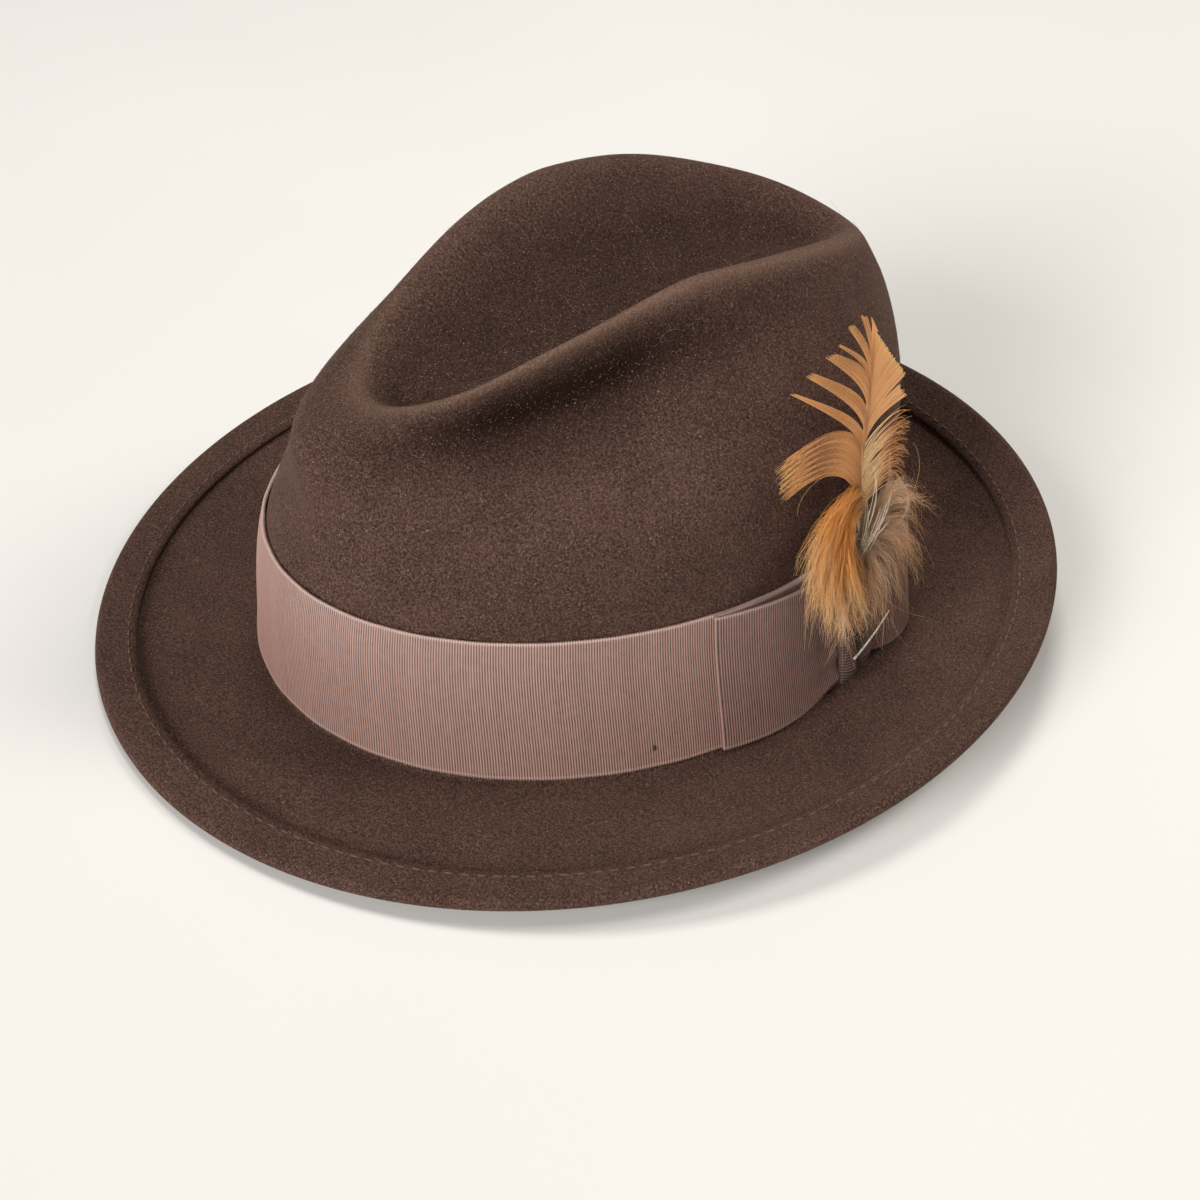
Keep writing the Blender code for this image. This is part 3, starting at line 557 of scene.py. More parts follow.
def brim_points(azimuth, share):
    """Points on the brim's top. Share 0 is beside the break and 1 is at the fold of the edge."""
    base = crown_sections(azimuth)[0] * (1, 1, 0)
    fold = FELT_THICKNESS + WELT_GAP / 2
    edge = oval(HAT_LENGTH - 2 * fold, HAT_WIDTH - 2 * fold, azimuth, 0.0)
    start = base + unit(edge - base) * BREAK_RADIUS
    share = np.broadcast_to(share, azimuth.shape)
    low = break_height(azimuth)
    height = low + (edge_height(azimuth) - low) * np.maximum(share, 0) ** BRIM_CURL_POWER
    flat = start + (edge - start) * share[:, None]
    return flat + np.stack([0 * height, 0 * height, height], axis=-1)


def brim_directions(azimuth, share):
    """Outward and upward directions of the brim's top."""
    outward = unit(brim_points(azimuth, share) - brim_points(azimuth, share - SHARE_STEP))
    along = brim_points(azimuth + TURN_STEP, share) - brim_points(azimuth - TURN_STEP, share)
    return outward, unit(np.cross(outward, along))


def brim_share(azimuth, inset):
    """The share of the brim that lies this far inside its edge."""
    return 1 - inset / np.linalg.norm(brim_points(azimuth, 1.0) - brim_points(azimuth, 0.0), axis=-1)


def spray_points(places):
    """World points for (side, rise, lift) beside the quill, curved round the crown to its front."""
    foot, upward = np.array(SPRAY_JOINT["pos_m"]), np.array(SPRAY_JOINT["axis"])
    azimuth = BOW_AZIMUTH + wall_turn(BOW_AZIMUTH, KNOT_WIDTH / 4)
    facing = wall_normals(np.array([azimuth]), np.array([[SHAFT_FOOT_HEIGHT]]))[0, 0]
    back = unit(np.cross(upward, facing))
    outward = np.cross(back, upward)
    side, rise, lift = (places[..., axis:axis + 1] for axis in range(3))
    angle = np.minimum(side, 0) / SPRAY_CURVE_RADIUS
    round_out = outward * np.cos(angle) + back * np.sin(angle)
    centre = foot - outward * SPRAY_CURVE_RADIUS
    return centre + round_out * (SPRAY_CURVE_RADIUS + lift) + back * np.maximum(side, 0) + upward * rise


def grid_normals(grid):
    """Directions square to a grid of rows and columns, along its columns times up its rows."""
    return unit(np.cross(np.gradient(grid, axis=1), np.gradient(grid, axis=0)))


def new_object(name, mesh, surface=None):
    """Put a mesh into the scene, with its material."""
    piece = bpy.data.objects.new(name, mesh)
    if surface:
        mesh.materials.append(surface)
    bpy.context.scene.collection.objects.link(piece)
    return piece


def clean_mesh(mesh, turn_out):
    """Weld meeting corners, turn a closed shape's faces outwards and shade it smooth."""
    builder = bmesh.new()
    builder.from_mesh(mesh)
    bmesh.ops.remove_doubles(builder, verts=builder.verts[:], dist=WELD_DISTANCE)
    if turn_out:
        bmesh.ops.recalc_face_normals(builder, faces=builder.faces[:])
    builder.to_mesh(mesh)
    builder.free()
    mesh.shade_smooth()


def grid_faces(rows, columns, closed):
    """Corner numbers of the quads of a grid whose rows go down as its columns go round."""
    numbers = np.arange(rows * columns).reshape(rows, columns)
    after = np.roll(numbers, -1, axis=1)
    last = columns if closed else columns - 1
    quads = np.stack([numbers[:-1], numbers[1:], after[1:], after[:-1]], axis=-1)
    return quads[:, :last].reshape(-1, 4)


def mark_points(mesh, marks):
    """Give a mesh a number at each point under each mark's name."""
    for label, values in marks.items():
        layer = mesh.attributes.new(label, "FLOAT", "POINT")
        layer.data.foreach_set("value", values.astype(np.float32).ravel())


def sheet_object(name, grid, surface, closed=True, **marks):
    """An open sheet through a grid of points, closed right round by default, with a number for each mark."""
    mesh = bpy.data.meshes.new(name)
    faces = grid_faces(len(grid), grid.shape[1], closed)
    mesh.from_pydata(grid.reshape(-1, 3).tolist(), [], faces.tolist())
    mark_points(mesh, marks)
    clean_mesh(mesh, False)
    return new_object(name, mesh, surface)


def add_thickness(piece, thickness, depth=0.0):
    """Give a sheet its thickness, starting at this depth under its surface."""
    wall = piece.modifiers.new("thickness", "SOLIDIFY")
    wall.thickness = thickness
    wall.offset = -1 - 2 * depth / thickness
    wall.use_even_offset = True
    wall.use_quality_normals = True


def strip_object(name, front, back, marks, surface):
    """A closed strip between a front and a back grid. Marks hold the ribbon's own coordinates."""
    rows, columns = front.shape[:2]
    loop = np.concatenate([front, back[::-1]])
    uv = np.concatenate([marks, marks[::-1]]).reshape(-1, 2)
    around = np.concatenate([loop, loop[:1]])
    faces = grid_faces(len(around), columns, False) % (2 * rows * columns)
    low = np.arange(rows - 1)
    high = 2 * rows - 1 - low
    caps = np.stack([low, low + 1, high - 1, high], axis=-1) * columns
    faces = np.concatenate([faces, caps, caps[:, ::-1] + columns - 1])
    mesh = bpy.data.meshes.new(name)
    mesh.from_pydata(loop.reshape(-1, 3).tolist(), [], faces.tolist())
    mesh.attributes.new("ribbon_mark", "FLOAT2", "POINT").data.foreach_set("vector", uv.ravel())
    clean_mesh(mesh, True)
    corners = np.empty(len(mesh.loops), dtype=np.int32)
    mesh.loops.foreach_get("vertex_index", corners)
    kept = np.empty(2 * len(mesh.vertices), dtype=np.float32)
    mesh.attributes["ribbon_mark"].data.foreach_get("vector", kept)
    layer = mesh.uv_layers.new(name="ribbon")
    layer.data.foreach_set("uv", kept.reshape(-1, 2)[corners].ravel())
    mesh.attributes.remove(mesh.attributes["ribbon_mark"])
    return new_object(name, mesh, surface)


def settle(piece, body, slot, *nodes):
    """Let a piece ride on its body, in place of CAD nodes. The slot is not used."""
    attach(piece, body)
    if nodes:
        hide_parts(*nodes)
    return piece


def add_node(tree, kind, inputs=None, **settings):
    """Add a node, set its properties, and set or link its inputs by name or number."""
    made = tree.nodes.new(kind)
    for key, value in settings.items():
        setattr(made, key, value)
    for key, value in (inputs or {}).items():
        if isinstance(value, bpy.types.NodeSocket):
            tree.links.new(value, made.inputs[key])
        else:
            made.inputs[key].default_value = value
    return made


def new_surface(name, roughness, sheen=0.0, sheen_color=(1, 1, 1), specular=0.5):
    """A material with a Principled shader whose constant values are set on its own sockets."""
    surface = bpy.data.materials.new(name)
    surface.use_nodes = True
    shader = surface.node_tree.nodes["Principled BSDF"]
    shader.inputs["Roughness"].default_value = roughness
    shader.inputs["Specular IOR Level"].default_value = specular
    shader.inputs["Sheen Weight"].default_value = sheen
    shader.inputs["Sheen Roughness"].default_value = SHEEN_ROUGHNESS
    shader.inputs["Sheen Tint"].default_value = (*sheen_color, 1)
    return surface, surface.node_tree, shader


def noise(tree, vector, scale, detail=2.0, roughness=0.5):
    """A noise texture's strength."""
    made = add_node(tree, "ShaderNodeTexNoise",
                    {"Vector": vector, "Scale": scale, "Detail": detail, "Roughness": roughness})
    return made.outputs["Fac"]


def ramp(tree, strength, stops):
    """A colour ramp through (place, colour) stops."""
    made = add_node(tree, "ShaderNodeValToRGB", {"Fac": strength})
    band = made.color_ramp
    while len(band.elements) < len(stops):
        band.elements.new(0.5)
    for element, (place, color) in zip(band.elements, stops):
        element.position = place
        element.color = (*color, 1)
    return made.outputs["Color"]


def mix(tree, share, first, second, blend="MIX"):
    """Two colours mixed by a share. Each may be a socket or a fixed colour."""
    colors = [value if isinstance(value, bpy.types.NodeSocket) else (*value, 1) for value in (first, second)]
    made = add_node(tree, "ShaderNodeMix", data_type="RGBA", blend_type=blend)
    for number, value in ((0, share), (6, colors[0]), (7, colors[1])):
        if isinstance(value, bpy.types.NodeSocket):
            tree.links.new(value, made.inputs[number])
        else:
            made.inputs[number].default_value = value
    return made.outputs[2]


def calculate(tree, operation, *values):
    """A Math node's result."""
    return add_node(tree, "ShaderNodeMath", dict(enumerate(values)), operation=operation).outputs["Value"]


def map_range(tree, value, low, high, new_low=0.0, new_high=1.0):
    """A value moved from one range to another, and kept inside it."""
    inputs = {"Value": value, "From Min": low, "From Max": high, "To Min": new_low, "To Max": new_high}
    return add_node(tree, "ShaderNodeMapRange", inputs).outputs["Result"]


def set_bump(tree, shader, height, strength, distance):
    """Bump the surface by a height."""
    bump = add_node(tree, "ShaderNodeBump", {"Height": height, "Strength": strength, "Distance": distance})
    tree.links.new(bump.outputs["Normal"], shader.inputs["Normal"])


def object_place(tree):
    """The point's place in its own object."""
    return add_node(tree, "ShaderNodeTexCoord").outputs["Object"]


def shade(color, share):
    """A colour made darker or lighter."""
    return tuple(min(channel * share, 1) for channel in color)


def tones(color, *stops):
    """Stops of a ramp in one colour, each a place and how much darker or lighter the colour is there."""
    return [(place, shade(color, share)) for place, share in stops]


def color_surface(tree, shader, color):
    """Let a socket give the shader its colour."""
    tree.links.new(color, shader.inputs["Base Color"])


def attribute(tree, name):
    """The number that the mesh holds under a name."""
    return add_node(tree, "ShaderNodeAttribute", attribute_name=name).outputs["Fac"]


def weighted_sum(tree, first, first_share, second, second_share):
    """Two values added, each with its weight."""
    return calculate(tree, "ADD", calculate(tree, "MULTIPLY", first, first_share),
                     calculate(tree, "MULTIPLY", second, second_share))


def felt_surface(settings):
    """Fur felt: mottled brown with pale fibre flecks and a matted surface."""
    surface, tree, shader = new_surface("fur_felt", roughness=0.93, sheen=0.14,
                                        sheen_color=settings.sheen_color, specular=0.12)
    place = object_place(tree)
    mottle = noise(tree, place, scale=70, detail=3)
    fine = noise(tree, place, scale=1500, detail=3, roughness=0.65)
    grain = weighted_sum(tree, mottle, 0.12, fine, 0.88)
    base = ramp(tree, grain, tones(settings.felt_color, (0.36, 0.38), (0.5, 1.0), (0.66, 2.0)))
    # Painted shade: darker, redder felt in the dents under the ridge and down in the crease
    base = mix(tree, attribute(tree, "painted_shade"), base, PAINTED_SHADE_TINT, "MULTIPLY")
    # Painted highlight with wear: lighter felt along the top of the ridge
    rubbed_and_lit = map_range(tree, fine, 0.3, 0.7, 0.35, 0.85)
    rubbed_and_lit = calculate(tree, "MULTIPLY", attribute(tree, "worn_and_lit"), rubbed_and_lit)
    base = mix(tree, rubbed_and_lit, base, tuple(settings.worn_and_lit_color))
    flecks = map_range(tree, noise(tree, place, scale=2300, detail=1, roughness=0.4), 0.67, 0.77, 0, 0.9)
    color_surface(tree, shader, mix(tree, flecks, base, tuple(settings.fleck_color)))
    matted = weighted_sum(tree, fine, 1.0, noise(tree, place, scale=330), 0.8)
    set_bump(tree, shader, matted, strength=0.5, distance=0.0006)
    return surface


def ribbon_surface(settings, name, tone):
    """Grosgrain: painted shade in the groove beside each rib and a painted highlight along each rib's top,
    uneven yarns and a paler woven edge.
    """
    # A tone below 1 makes a darker copy with a weaker sheen and gloss, painted shade for the bow and the knot
    ribbon, edge = shade(settings.ribbon_color, tone), shade(settings.edge_color, tone)
    surface, tree, shader = new_surface(name, roughness=0.45, sheen=0.15 * tone,
                                        sheen_color=shade(ribbon, 3.0), specular=0.7 * tone)
    mark = add_node(tree, "ShaderNodeUVMap", uv_map="ribbon").outputs["UV"]
    apart = add_node(tree, "ShaderNodeSeparateXYZ", {"Vector": mark})
    along, across = apart.outputs["X"], apart.outputs["Y"]
    rib = calculate(tree, "DIVIDE", along, settings.rib_pitch)
    rib_highlight_and_shade = calculate(tree, "ABSOLUTE", calculate(tree, "SINE", calculate(tree, "MULTIPLY", rib, math.pi)))
    yarn = add_node(tree, "ShaderNodeTexWhiteNoise", {"W": calculate(tree, "FLOOR", rib)},
                    noise_dimensions="1D").outputs["Value"]
    # Painted shade down in each groove and a painted highlight on each rib's top
    color = ramp(tree, rib_highlight_and_shade, tones(ribbon, (0.0, 0.05), (0.5, 0.55), (1.0, 1.9)))
    color = mix(tree, map_range(tree, yarn, 0, 1, 0, 0.22), color, shade(ribbon, 0.5))
    place = object_place(tree)
    slubs = map_range(tree, noise(tree, place, scale=420, detail=3), 0.35, 0.8, 0, 0.35)
    color = mix(tree, slubs, color, shade(ribbon, 1.5))
    middle = calculate(tree, "ABSOLUTE", calculate(tree, "SUBTRACT", across, RIBBON_WIDTH / 2))
    woven_edge = map_range(tree, middle, RIBBON_WIDTH / 2 - settings.edge_width, RIBBON_WIDTH / 2, 0, 0.6)
    color_surface(tree, shader, mix(tree, woven_edge, color, edge))
    warp = calculate(tree, "SINE", calculate(tree, "MULTIPLY", across, FULL_TURN / settings.warp_pitch))
    height = weighted_sum(tree, warp, 0.2, noise(tree, place, scale=2500), 1.0)
    set_bump(tree, shader, height, strength=0.35, distance=0.0002)
    return surface


def thread_surface(name, color):
    """Sewing thread with uneven dye and fine fibres."""
    surface, tree, shader = new_surface(name, roughness=0.7, sheen=0.2,
                                        sheen_color=THREAD_SHEEN, specular=0.3)
    fibres = noise(tree, object_place(tree), scale=5200)
    color_surface(tree, shader, ramp(tree, fibres, tones(color, (0.3, 0.6), (0.55, 1.0), (0.8, 1.5))))
    set_bump(tree, shader, fibres, strength=0.4, distance=0.0001)
    return surface


def barb_surface(name, stops, roughness=0.6):
    """Feather barbs: colours from root to tip, with a tone of its own for each strand."""
    surface, tree, shader = new_surface(name, roughness, specular=0.15)
    shader.inputs["Subsurface Weight"].default_value = SCATTER_SHARE
    shader.inputs["Subsurface Scale"].default_value = SCATTER_DEPTH
    shader.inputs["Subsurface Radius"].default_value = SCATTER_COLORS
    color = ramp(tree, attribute(tree, "strand_share"), stops)
    dark = mix(tree, 1.0, color, DARK_STRAND, "MULTIPLY")
    pale = mix(tree, PALE_STRAND_SHARE, color, PALE_STRAND)
    streaks = noise(tree, object_place(tree), scale=260)
    tone = weighted_sum(tree, attribute(tree, "strand_tone"), 0.8, streaks, 0.2)
    color_surface(tree, shader, mix(tree, tone, dark, pale))
    return surface


def quill_surface(color):
    """Horn of the cut quill: pale, with long darker streaks and a low gloss."""
    surface, tree, shader = new_surface("cut_horn", roughness=0.42)
    stretched = add_node(tree, "ShaderNodeMapping", {"Vector": object_place(tree), "Scale": HORN_STREAKS})
    streaks = noise(tree, stretched.outputs["Vector"], scale=1.0, detail=3)
    color_surface(tree, shader, ramp(tree, streaks, tones(color, (0.3, 0.45), (0.5, 1.0), (0.75, 1.3))))
    set_bump(tree, shader, streaks, strength=0.2, distance=0.0002)
    return surface


def leather_surface(color):
    """Sweatband leather: fine pebble grain with soft darker patches."""
    surface, tree, shader = new_surface("sweatband_leather", roughness=0.48, sheen=0.05, specular=0.45)
    place = object_place(tree)
    pebbles = add_node(tree, "ShaderNodeTexVoronoi", {"Vector": place, "Scale": LEATHER_PEBBLES})
    grain = pebbles.outputs["Distance"]
    patches = noise(tree, place, scale=55, detail=4)
    base = ramp(tree, patches, tones(color, (0.3, 0.7), (0.55, 1.0), (0.8, 1.25)))
    creases = map_range(tree, grain, 0.15, 0.65, 0, 0.4)
    color_surface(tree, shader, mix(tree, creases, base, shade(color, 0.5)))
    set_bump(tree, shader, grain, strength=0.35, distance=0.0003)
    return surface


def satin_surface(color):
    """Lining satin: smooth, with long floats of thread that catch the light."""
    surface, tree, shader = new_surface("lining_satin", roughness=0.34, sheen=0.15,
                                        sheen_color=shade(color, 4.0), specular=0.6)
    place = object_place(tree)
    stretched = add_node(tree, "ShaderNodeMapping", {"Vector": place, "Scale": SATIN_FLOATS})
    floats = noise(tree, stretched.outputs["Vector"], scale=1.0)
    base = ramp(tree, noise(tree, place, scale=40), tones(color, (0.3, 0.75), (0.7, 1.25)))
    glints = map_range(tree, floats, 0.3, 0.7, 0, 0.3)
    color_surface(tree, shader, mix(tree, glints, base, shade(color, 1.8)))
    set_bump(tree, shader, floats, strength=0.12, distance=0.0002)
    return surface


def reed_surface(color):
    """Extruded plastic reed with faint lines along it."""
    surface, tree, shader = new_surface("reed_plastic", roughness=0.4)
    lines = noise(tree, object_place(tree), scale=800)
    color_surface(tree, shader, ramp(tree, lines, tones(color, (0.3, 0.8), (0.7, 1.15))))
    return surface


def start_tree(name, sizes):
    """A geometry tree with inputs for a geometry, named sizes and a material."""
    tree = bpy.data.node_groups.new(name, "GeometryNodeTree")
    tree.interface.new_socket("Geometry", in_out="INPUT", socket_type="NodeSocketGeometry")
    for label, kind in sizes:
        tree.interface.new_socket(label, in_out="INPUT", socket_type=kind)
    tree.interface.new_socket("Surface", in_out="INPUT", socket_type="NodeSocketMaterial")
    tree.interface.new_socket("Geometry", in_out="OUTPUT", socket_type="NodeSocketGeometry")
    return tree, tree.nodes.new("NodeGroupInput").outputs


def end_tree(tree, entry, shape):
    """Realize a tree's instances, shade them smooth and give them their material."""
    realized = add_node(tree, "GeometryNodeRealizeInstances", {"Geometry": shape})
    smooth = add_node(tree, "GeometryNodeSetShadeSmooth", {"Geometry": realized.outputs[0]})
    dressed = add_node(tree, "GeometryNodeSetMaterial",
                       {"Geometry": smooth.outputs[0], "Material": entry["Surface"]})
    add_node(tree, "NodeGroupOutput", {0: dressed.outputs[0]})
    return tree


def strand_tree():
    """Tubes along lines of edges, as thick as each point's strand_radius."""
    tree, entry = start_tree("strand_tubes", [("Sides", "NodeSocketInt")])
    line = add_node(tree, "GeometryNodeMeshToCurve", {"Mesh": entry["Geometry"]})
    profile = add_node(tree, "GeometryNodeCurvePrimitiveCircle",
                       {"Resolution": entry["Sides"], "Radius": 1.0})
    radius = add_node(tree, "GeometryNodeInputNamedAttribute", {"Name": "strand_radius"}, data_type="FLOAT")
    tube = add_node(tree, "GeometryNodeCurveToMesh",
                    {"Curve": line.outputs[0], "Profile Curve": profile.outputs[0],
                     "Scale": radius.outputs["Attribute"], "Fill Caps": True})
    return end_tree(tree, entry, tube.outputs[0])


def stitch_tree():
    """Separate stitches along a line of edges."""
    sizes = [(label, "NodeSocketFloat") for label in ("Pitch", "Length", "Radius")]
    tree, entry = start_tree("stitch_row", sizes)
    line = add_node(tree, "GeometryNodeMeshToCurve", {"Mesh": entry["Geometry"]})
    spaced = add_node(tree, "GeometryNodeResampleCurve",
                      {"Curve": line.outputs[0], "Length": entry["Pitch"]}, mode="LENGTH")
    places = add_node(tree, "GeometryNodeCurveToPoints", {"Curve": spaced.outputs[0]}, mode="EVALUATED")
    half = add_node(tree, "ShaderNodeMath", {0: entry["Length"], 1: 0.5}, operation="MULTIPLY")
    scale = add_node(tree, "ShaderNodeCombineXYZ",
                     {"X": entry["Radius"], "Y": entry["Radius"], "Z": half.outputs[0]})
    bead = add_node(tree, "GeometryNodeMeshUVSphere",
                    {"Segments": STITCH_SEGMENTS, "Rings": STITCH_RINGS, "Radius": 1.0})
    stitch = add_node(tree, "GeometryNodeTransform",
                      {"Geometry": bead.outputs["Mesh"], "Scale": scale.outputs[0]})
    placed = add_node(tree, "GeometryNodeInstanceOnPoints",
                      {"Points": places.outputs["Points"], "Instance": stitch.outputs[0],
                       "Rotation": places.outputs["Rotation"]})
    return end_tree(tree, entry, placed.outputs[0])


def nap_tree():
    """Short bent fibres scattered over a surface."""
    sizes = [("Density", "NodeSocketFloat"), ("Length", "NodeSocketFloat"), ("Radius", "NodeSocketFloat"),
             ("Seed", "NodeSocketInt")]
    tree, entry = start_tree("felt_nap", sizes)
    scatter = add_node(tree, "GeometryNodeDistributePointsOnFaces",
                       {"Mesh": entry["Geometry"], "Density": entry["Density"], "Seed": entry["Seed"]})
    bend = add_node(tree, "GeometryNodeCurveQuadraticBezier",
                    {"Resolution": 2, "Start": (0, 0, 0), "Middle": FIBRE_BEND, "End": FIBRE_TIP})
    profile = add_node(tree, "GeometryNodeCurvePrimitiveCircle", {"Resolution": 3, "Radius": 1.0})
    thin = add_node(tree, "ShaderNodeMath", {0: entry["Radius"], 1: entry["Length"]}, operation="DIVIDE")
    hair = add_node(tree, "GeometryNodeCurveToMesh",
                    {"Curve": bend.outputs[0], "Profile Curve": profile.outputs[0], "Scale": thin.outputs[0]})
    spin = add_node(tree, "FunctionNodeRandomValue",
                    {0: (0, 0, 0), 1: (*FIBRE_TILT, FULL_TURN), "Seed": entry["Seed"]},
                    data_type="FLOAT_VECTOR")
    turn = add_node(tree, "FunctionNodeEulerToRotation", {"Euler": spin.outputs["Value"]})
    turned = add_node(tree, "FunctionNodeRotateRotation",
                      {"Rotation": scatter.outputs["Rotation"], "Rotate By": turn.outputs[0]},
                      rotation_space="LOCAL")
    shortest, longest = FIBRE_LENGTHS
    long = add_node(tree, "FunctionNodeRandomValue",
                    {2: shortest, 3: longest, "Seed": entry["Seed"]}, data_type="FLOAT")
    size = add_node(tree, "ShaderNodeMath", {0: long.outputs[1], 1: entry["Length"]}, operation="MULTIPLY")
    placed = add_node(tree, "GeometryNodeInstanceOnPoints",
                      {"Points": scatter.outputs["Points"], "Instance": hair.outputs[0],
                       "Rotation": turned.outputs[0], "Scale": size.outputs[0]})
    return end_tree(tree, entry, placed.outputs[0])


def grow(name, mesh, make_tree, sizes, surface):
    """Run a geometry tree on a mesh and keep the result as a plain mesh."""
    tree = make_tree()
    source = new_object(name + "_path", mesh)
    modifier = source.modifiers.new("grow", "NODES")
    modifier.node_group = tree
    values = {**sizes, "Surface": surface}
    for socket in tree.interface.items_tree:
        if socket.in_out == "INPUT" and socket.name in values:
            modifier[socket.identifier] = values[socket.name]
    graph = bpy.context.evaluated_depsgraph_get()
    grown = bpy.data.meshes.new_from_object(source.evaluated_get(graph))
    grown.name = name
    bpy.data.objects.remove(source)
    bpy.data.meshes.remove(mesh)
    if not len(grown.polygons):
        raise RuntimeError(f"{name} grew no faces")
    return new_object(name, grown)


def line_mesh(name, points, closed=False, **marks):
    """A mesh of edges along (strand, step) points, with a number for each point under each mark's name."""
    strands, steps = points.shape[:2]
    numbers = np.arange(strands * steps).reshape(strands, steps)
    after = np.roll(numbers, -1, axis=1)
    last = steps if closed else steps - 1
    edges = np.stack([numbers[:, :last].ravel(), after[:, :last].ravel()], axis=-1)
    mesh = bpy.data.meshes.new(name)
    mesh.from_pydata(points.reshape(-1, 3).tolist(), edges.tolist(), [])
    mark_points(mesh, {label: np.broadcast_to(values, (strands, steps)) for label, values in marks.items()})
    return mesh


def strand_object(name, points, radius, surface, tone=0.5, sides=4, closed=False):
    """Tubes along (strand, step) points, with the marks that the feather materials read."""
    share = np.linspace(0, 1, points.shape[1])[None, :]
    mesh = line_mesh(name, points, closed, strand_radius=radius, strand_share=share, strand_tone=tone)
    return grow(name, mesh, strand_tree, {"Sides": sides}, surface)


def stitch_object(name, points, pitch, length, radius, surface, closed=True):
    """A row of separate stitches along a line of points."""
    sizes = {"Pitch": pitch, "Length": length, "Radius": radius}
    return grow(name, line_mesh(name, points[None], closed), stitch_tree, sizes, surface)


def felt_rows(azimuth):
    """The felt's outer face from the crease floor, over the brim and into the folded welt."""
    sections = np.linspace(CREASE_SECTION, 0, CROWN_STEPS + 1)
    crown = crown_rows(azimuth, sections)
    swell = hand_shape(crown) * np.clip((sections - SWELL_START_SECTION) / SWELL_FADE, 0, 1)[:, None]
    crown = crown - grid_normals(crown) * swell[..., None]
    base = crown[-1]
    start = brim_points(azimuth, 0.0)
    outward = unit((start - base) * (1, 1, 0))
    angles = np.linspace(0, math.pi / 2, BREAK_STEPS + 1)[1:-1]
    bend = [base + (outward * (1 - math.cos(angle)) - np.array([0, 0, math.sin(angle)])) * BREAK_RADIUS
            for angle in angles]
    brim = [brim_points(azimuth, share) for share in np.linspace(0, 1, BRIM_STEPS + 1)]
    outward, upward = brim_directions(azimuth, 1.0)
    fold = [brim[-1] + (outward * math.sin(angle) + upward * (1 - math.cos(angle))) * WELT_GAP / 2
            for angle in np.linspace(0, math.pi, FOLD_STEPS + 1)[1:]]
    flap = []
    for inset in np.linspace(0, WELT_WIDTH, FLAP_STEPS + 1)[1:]:
        share = brim_share(azimuth, inset)
        flap.append(brim_points(azimuth, share) + brim_directions(azimuth, share)[1] * WELT_GAP)
    return crown, np.stack(bend), np.stack(brim), np.stack(fold), np.stack(flap)


def plane_wave(points, waves, phase):
    """A wave through space at each point, with its number of waves in a metre along each axis."""
    return np.sin(FULL_TURN * (points @ np.array(waves)) + phase)


def hand_shape(points):
    """Small uneven swells of a crown that was shaped by hand."""
    first, second = (plane_wave(points, *wave) for wave in BROAD_WAVES)
    return BROAD_SWELL * first * second + SMALL_SWELL * plane_wave(points, *SMALL_WAVE)


def felt_marks(azimuth, parts):
    """Where the felt is made lighter and darker: wear with a painted highlight along the ridge, painted shade
    in the dents under it and down in the crease.
    """
    sections = np.linspace(CREASE_SECTION, 0, CROWN_STEPS + 1)[:, None]
    # Painted highlight with wear along the top of the ridge, stronger on the wearer's left
    leftward = 1 - WEAR_AND_LIGHT_SKEW + WEAR_AND_LIGHT_SKEW * np.sin(azimuth)
    rubbed_and_lit = np.exp(-((sections - WEAR_AND_LIGHT_SECTION) / WEAR_AND_LIGHT_SPREAD) ** 2) * leftward
    # Painted shade in the dents under the ridge and down in the crease below it
    dents = np.clip(PINCH_SHADE * pinch(azimuth) + DIP_SHADE * dip(azimuth), 0, 1)
    dark = np.exp(-((sections - DENT_SHADE_SECTION) / DENT_SHADE_SPREAD) ** 2) * dents
    below_ridge = np.clip((sections - RIDGE_SECTION - CREASE_SHADE_START) / CREASE_SHADE_FADE, 0, 1)
    dark = dark + CREASE_SHADE * below_ridge
    rest = np.zeros((sum(map(len, parts[1:])), len(azimuth)))
    return {"worn_and_lit": np.concatenate([rubbed_and_lit, rest]), "painted_shade": np.concatenate([dark, rest])}


def stray_fibres(crown, surface):
    """A few long loose hairs that lie curled on the crown."""
    random = np.random.default_rng(STRAY_SEED)
    rows = random.integers(*STRAY_ROWS, STRAY_COUNT)
    columns = random.integers(0, FELT_COLUMNS, STRAY_COUNT)
    facing = -grid_normals(crown)[rows, columns][:, None]
    first = unit(np.gradient(crown, axis=1)[rows, columns])[:, None]
    second = np.cross(facing, first)
    share = np.linspace(0, 1, DOWN_STEPS)[None, :, None]
    heading = random.uniform(0, FULL_TURN, (STRAY_COUNT, 1, 1))
    heading = heading + random.normal(0, STRAY_CURL, (STRAY_COUNT, 1, 1)) * share
    step = random.uniform(*STRAY_LENGTHS, (STRAY_COUNT, 1, 1)) / DOWN_STEPS
    path = np.cumsum((first * np.cos(heading) + second * np.sin(heading)) * step, axis=1)
    places = crown[rows, columns][:, None] + path + facing * STRAY_LIFT * (STRAY_FOOT + share)
    hairs = strand_object("stray_hairs", places, STRAY_RADIUS, surface, sides=3)
    settle(hairs, HAT_BODY, "felt")


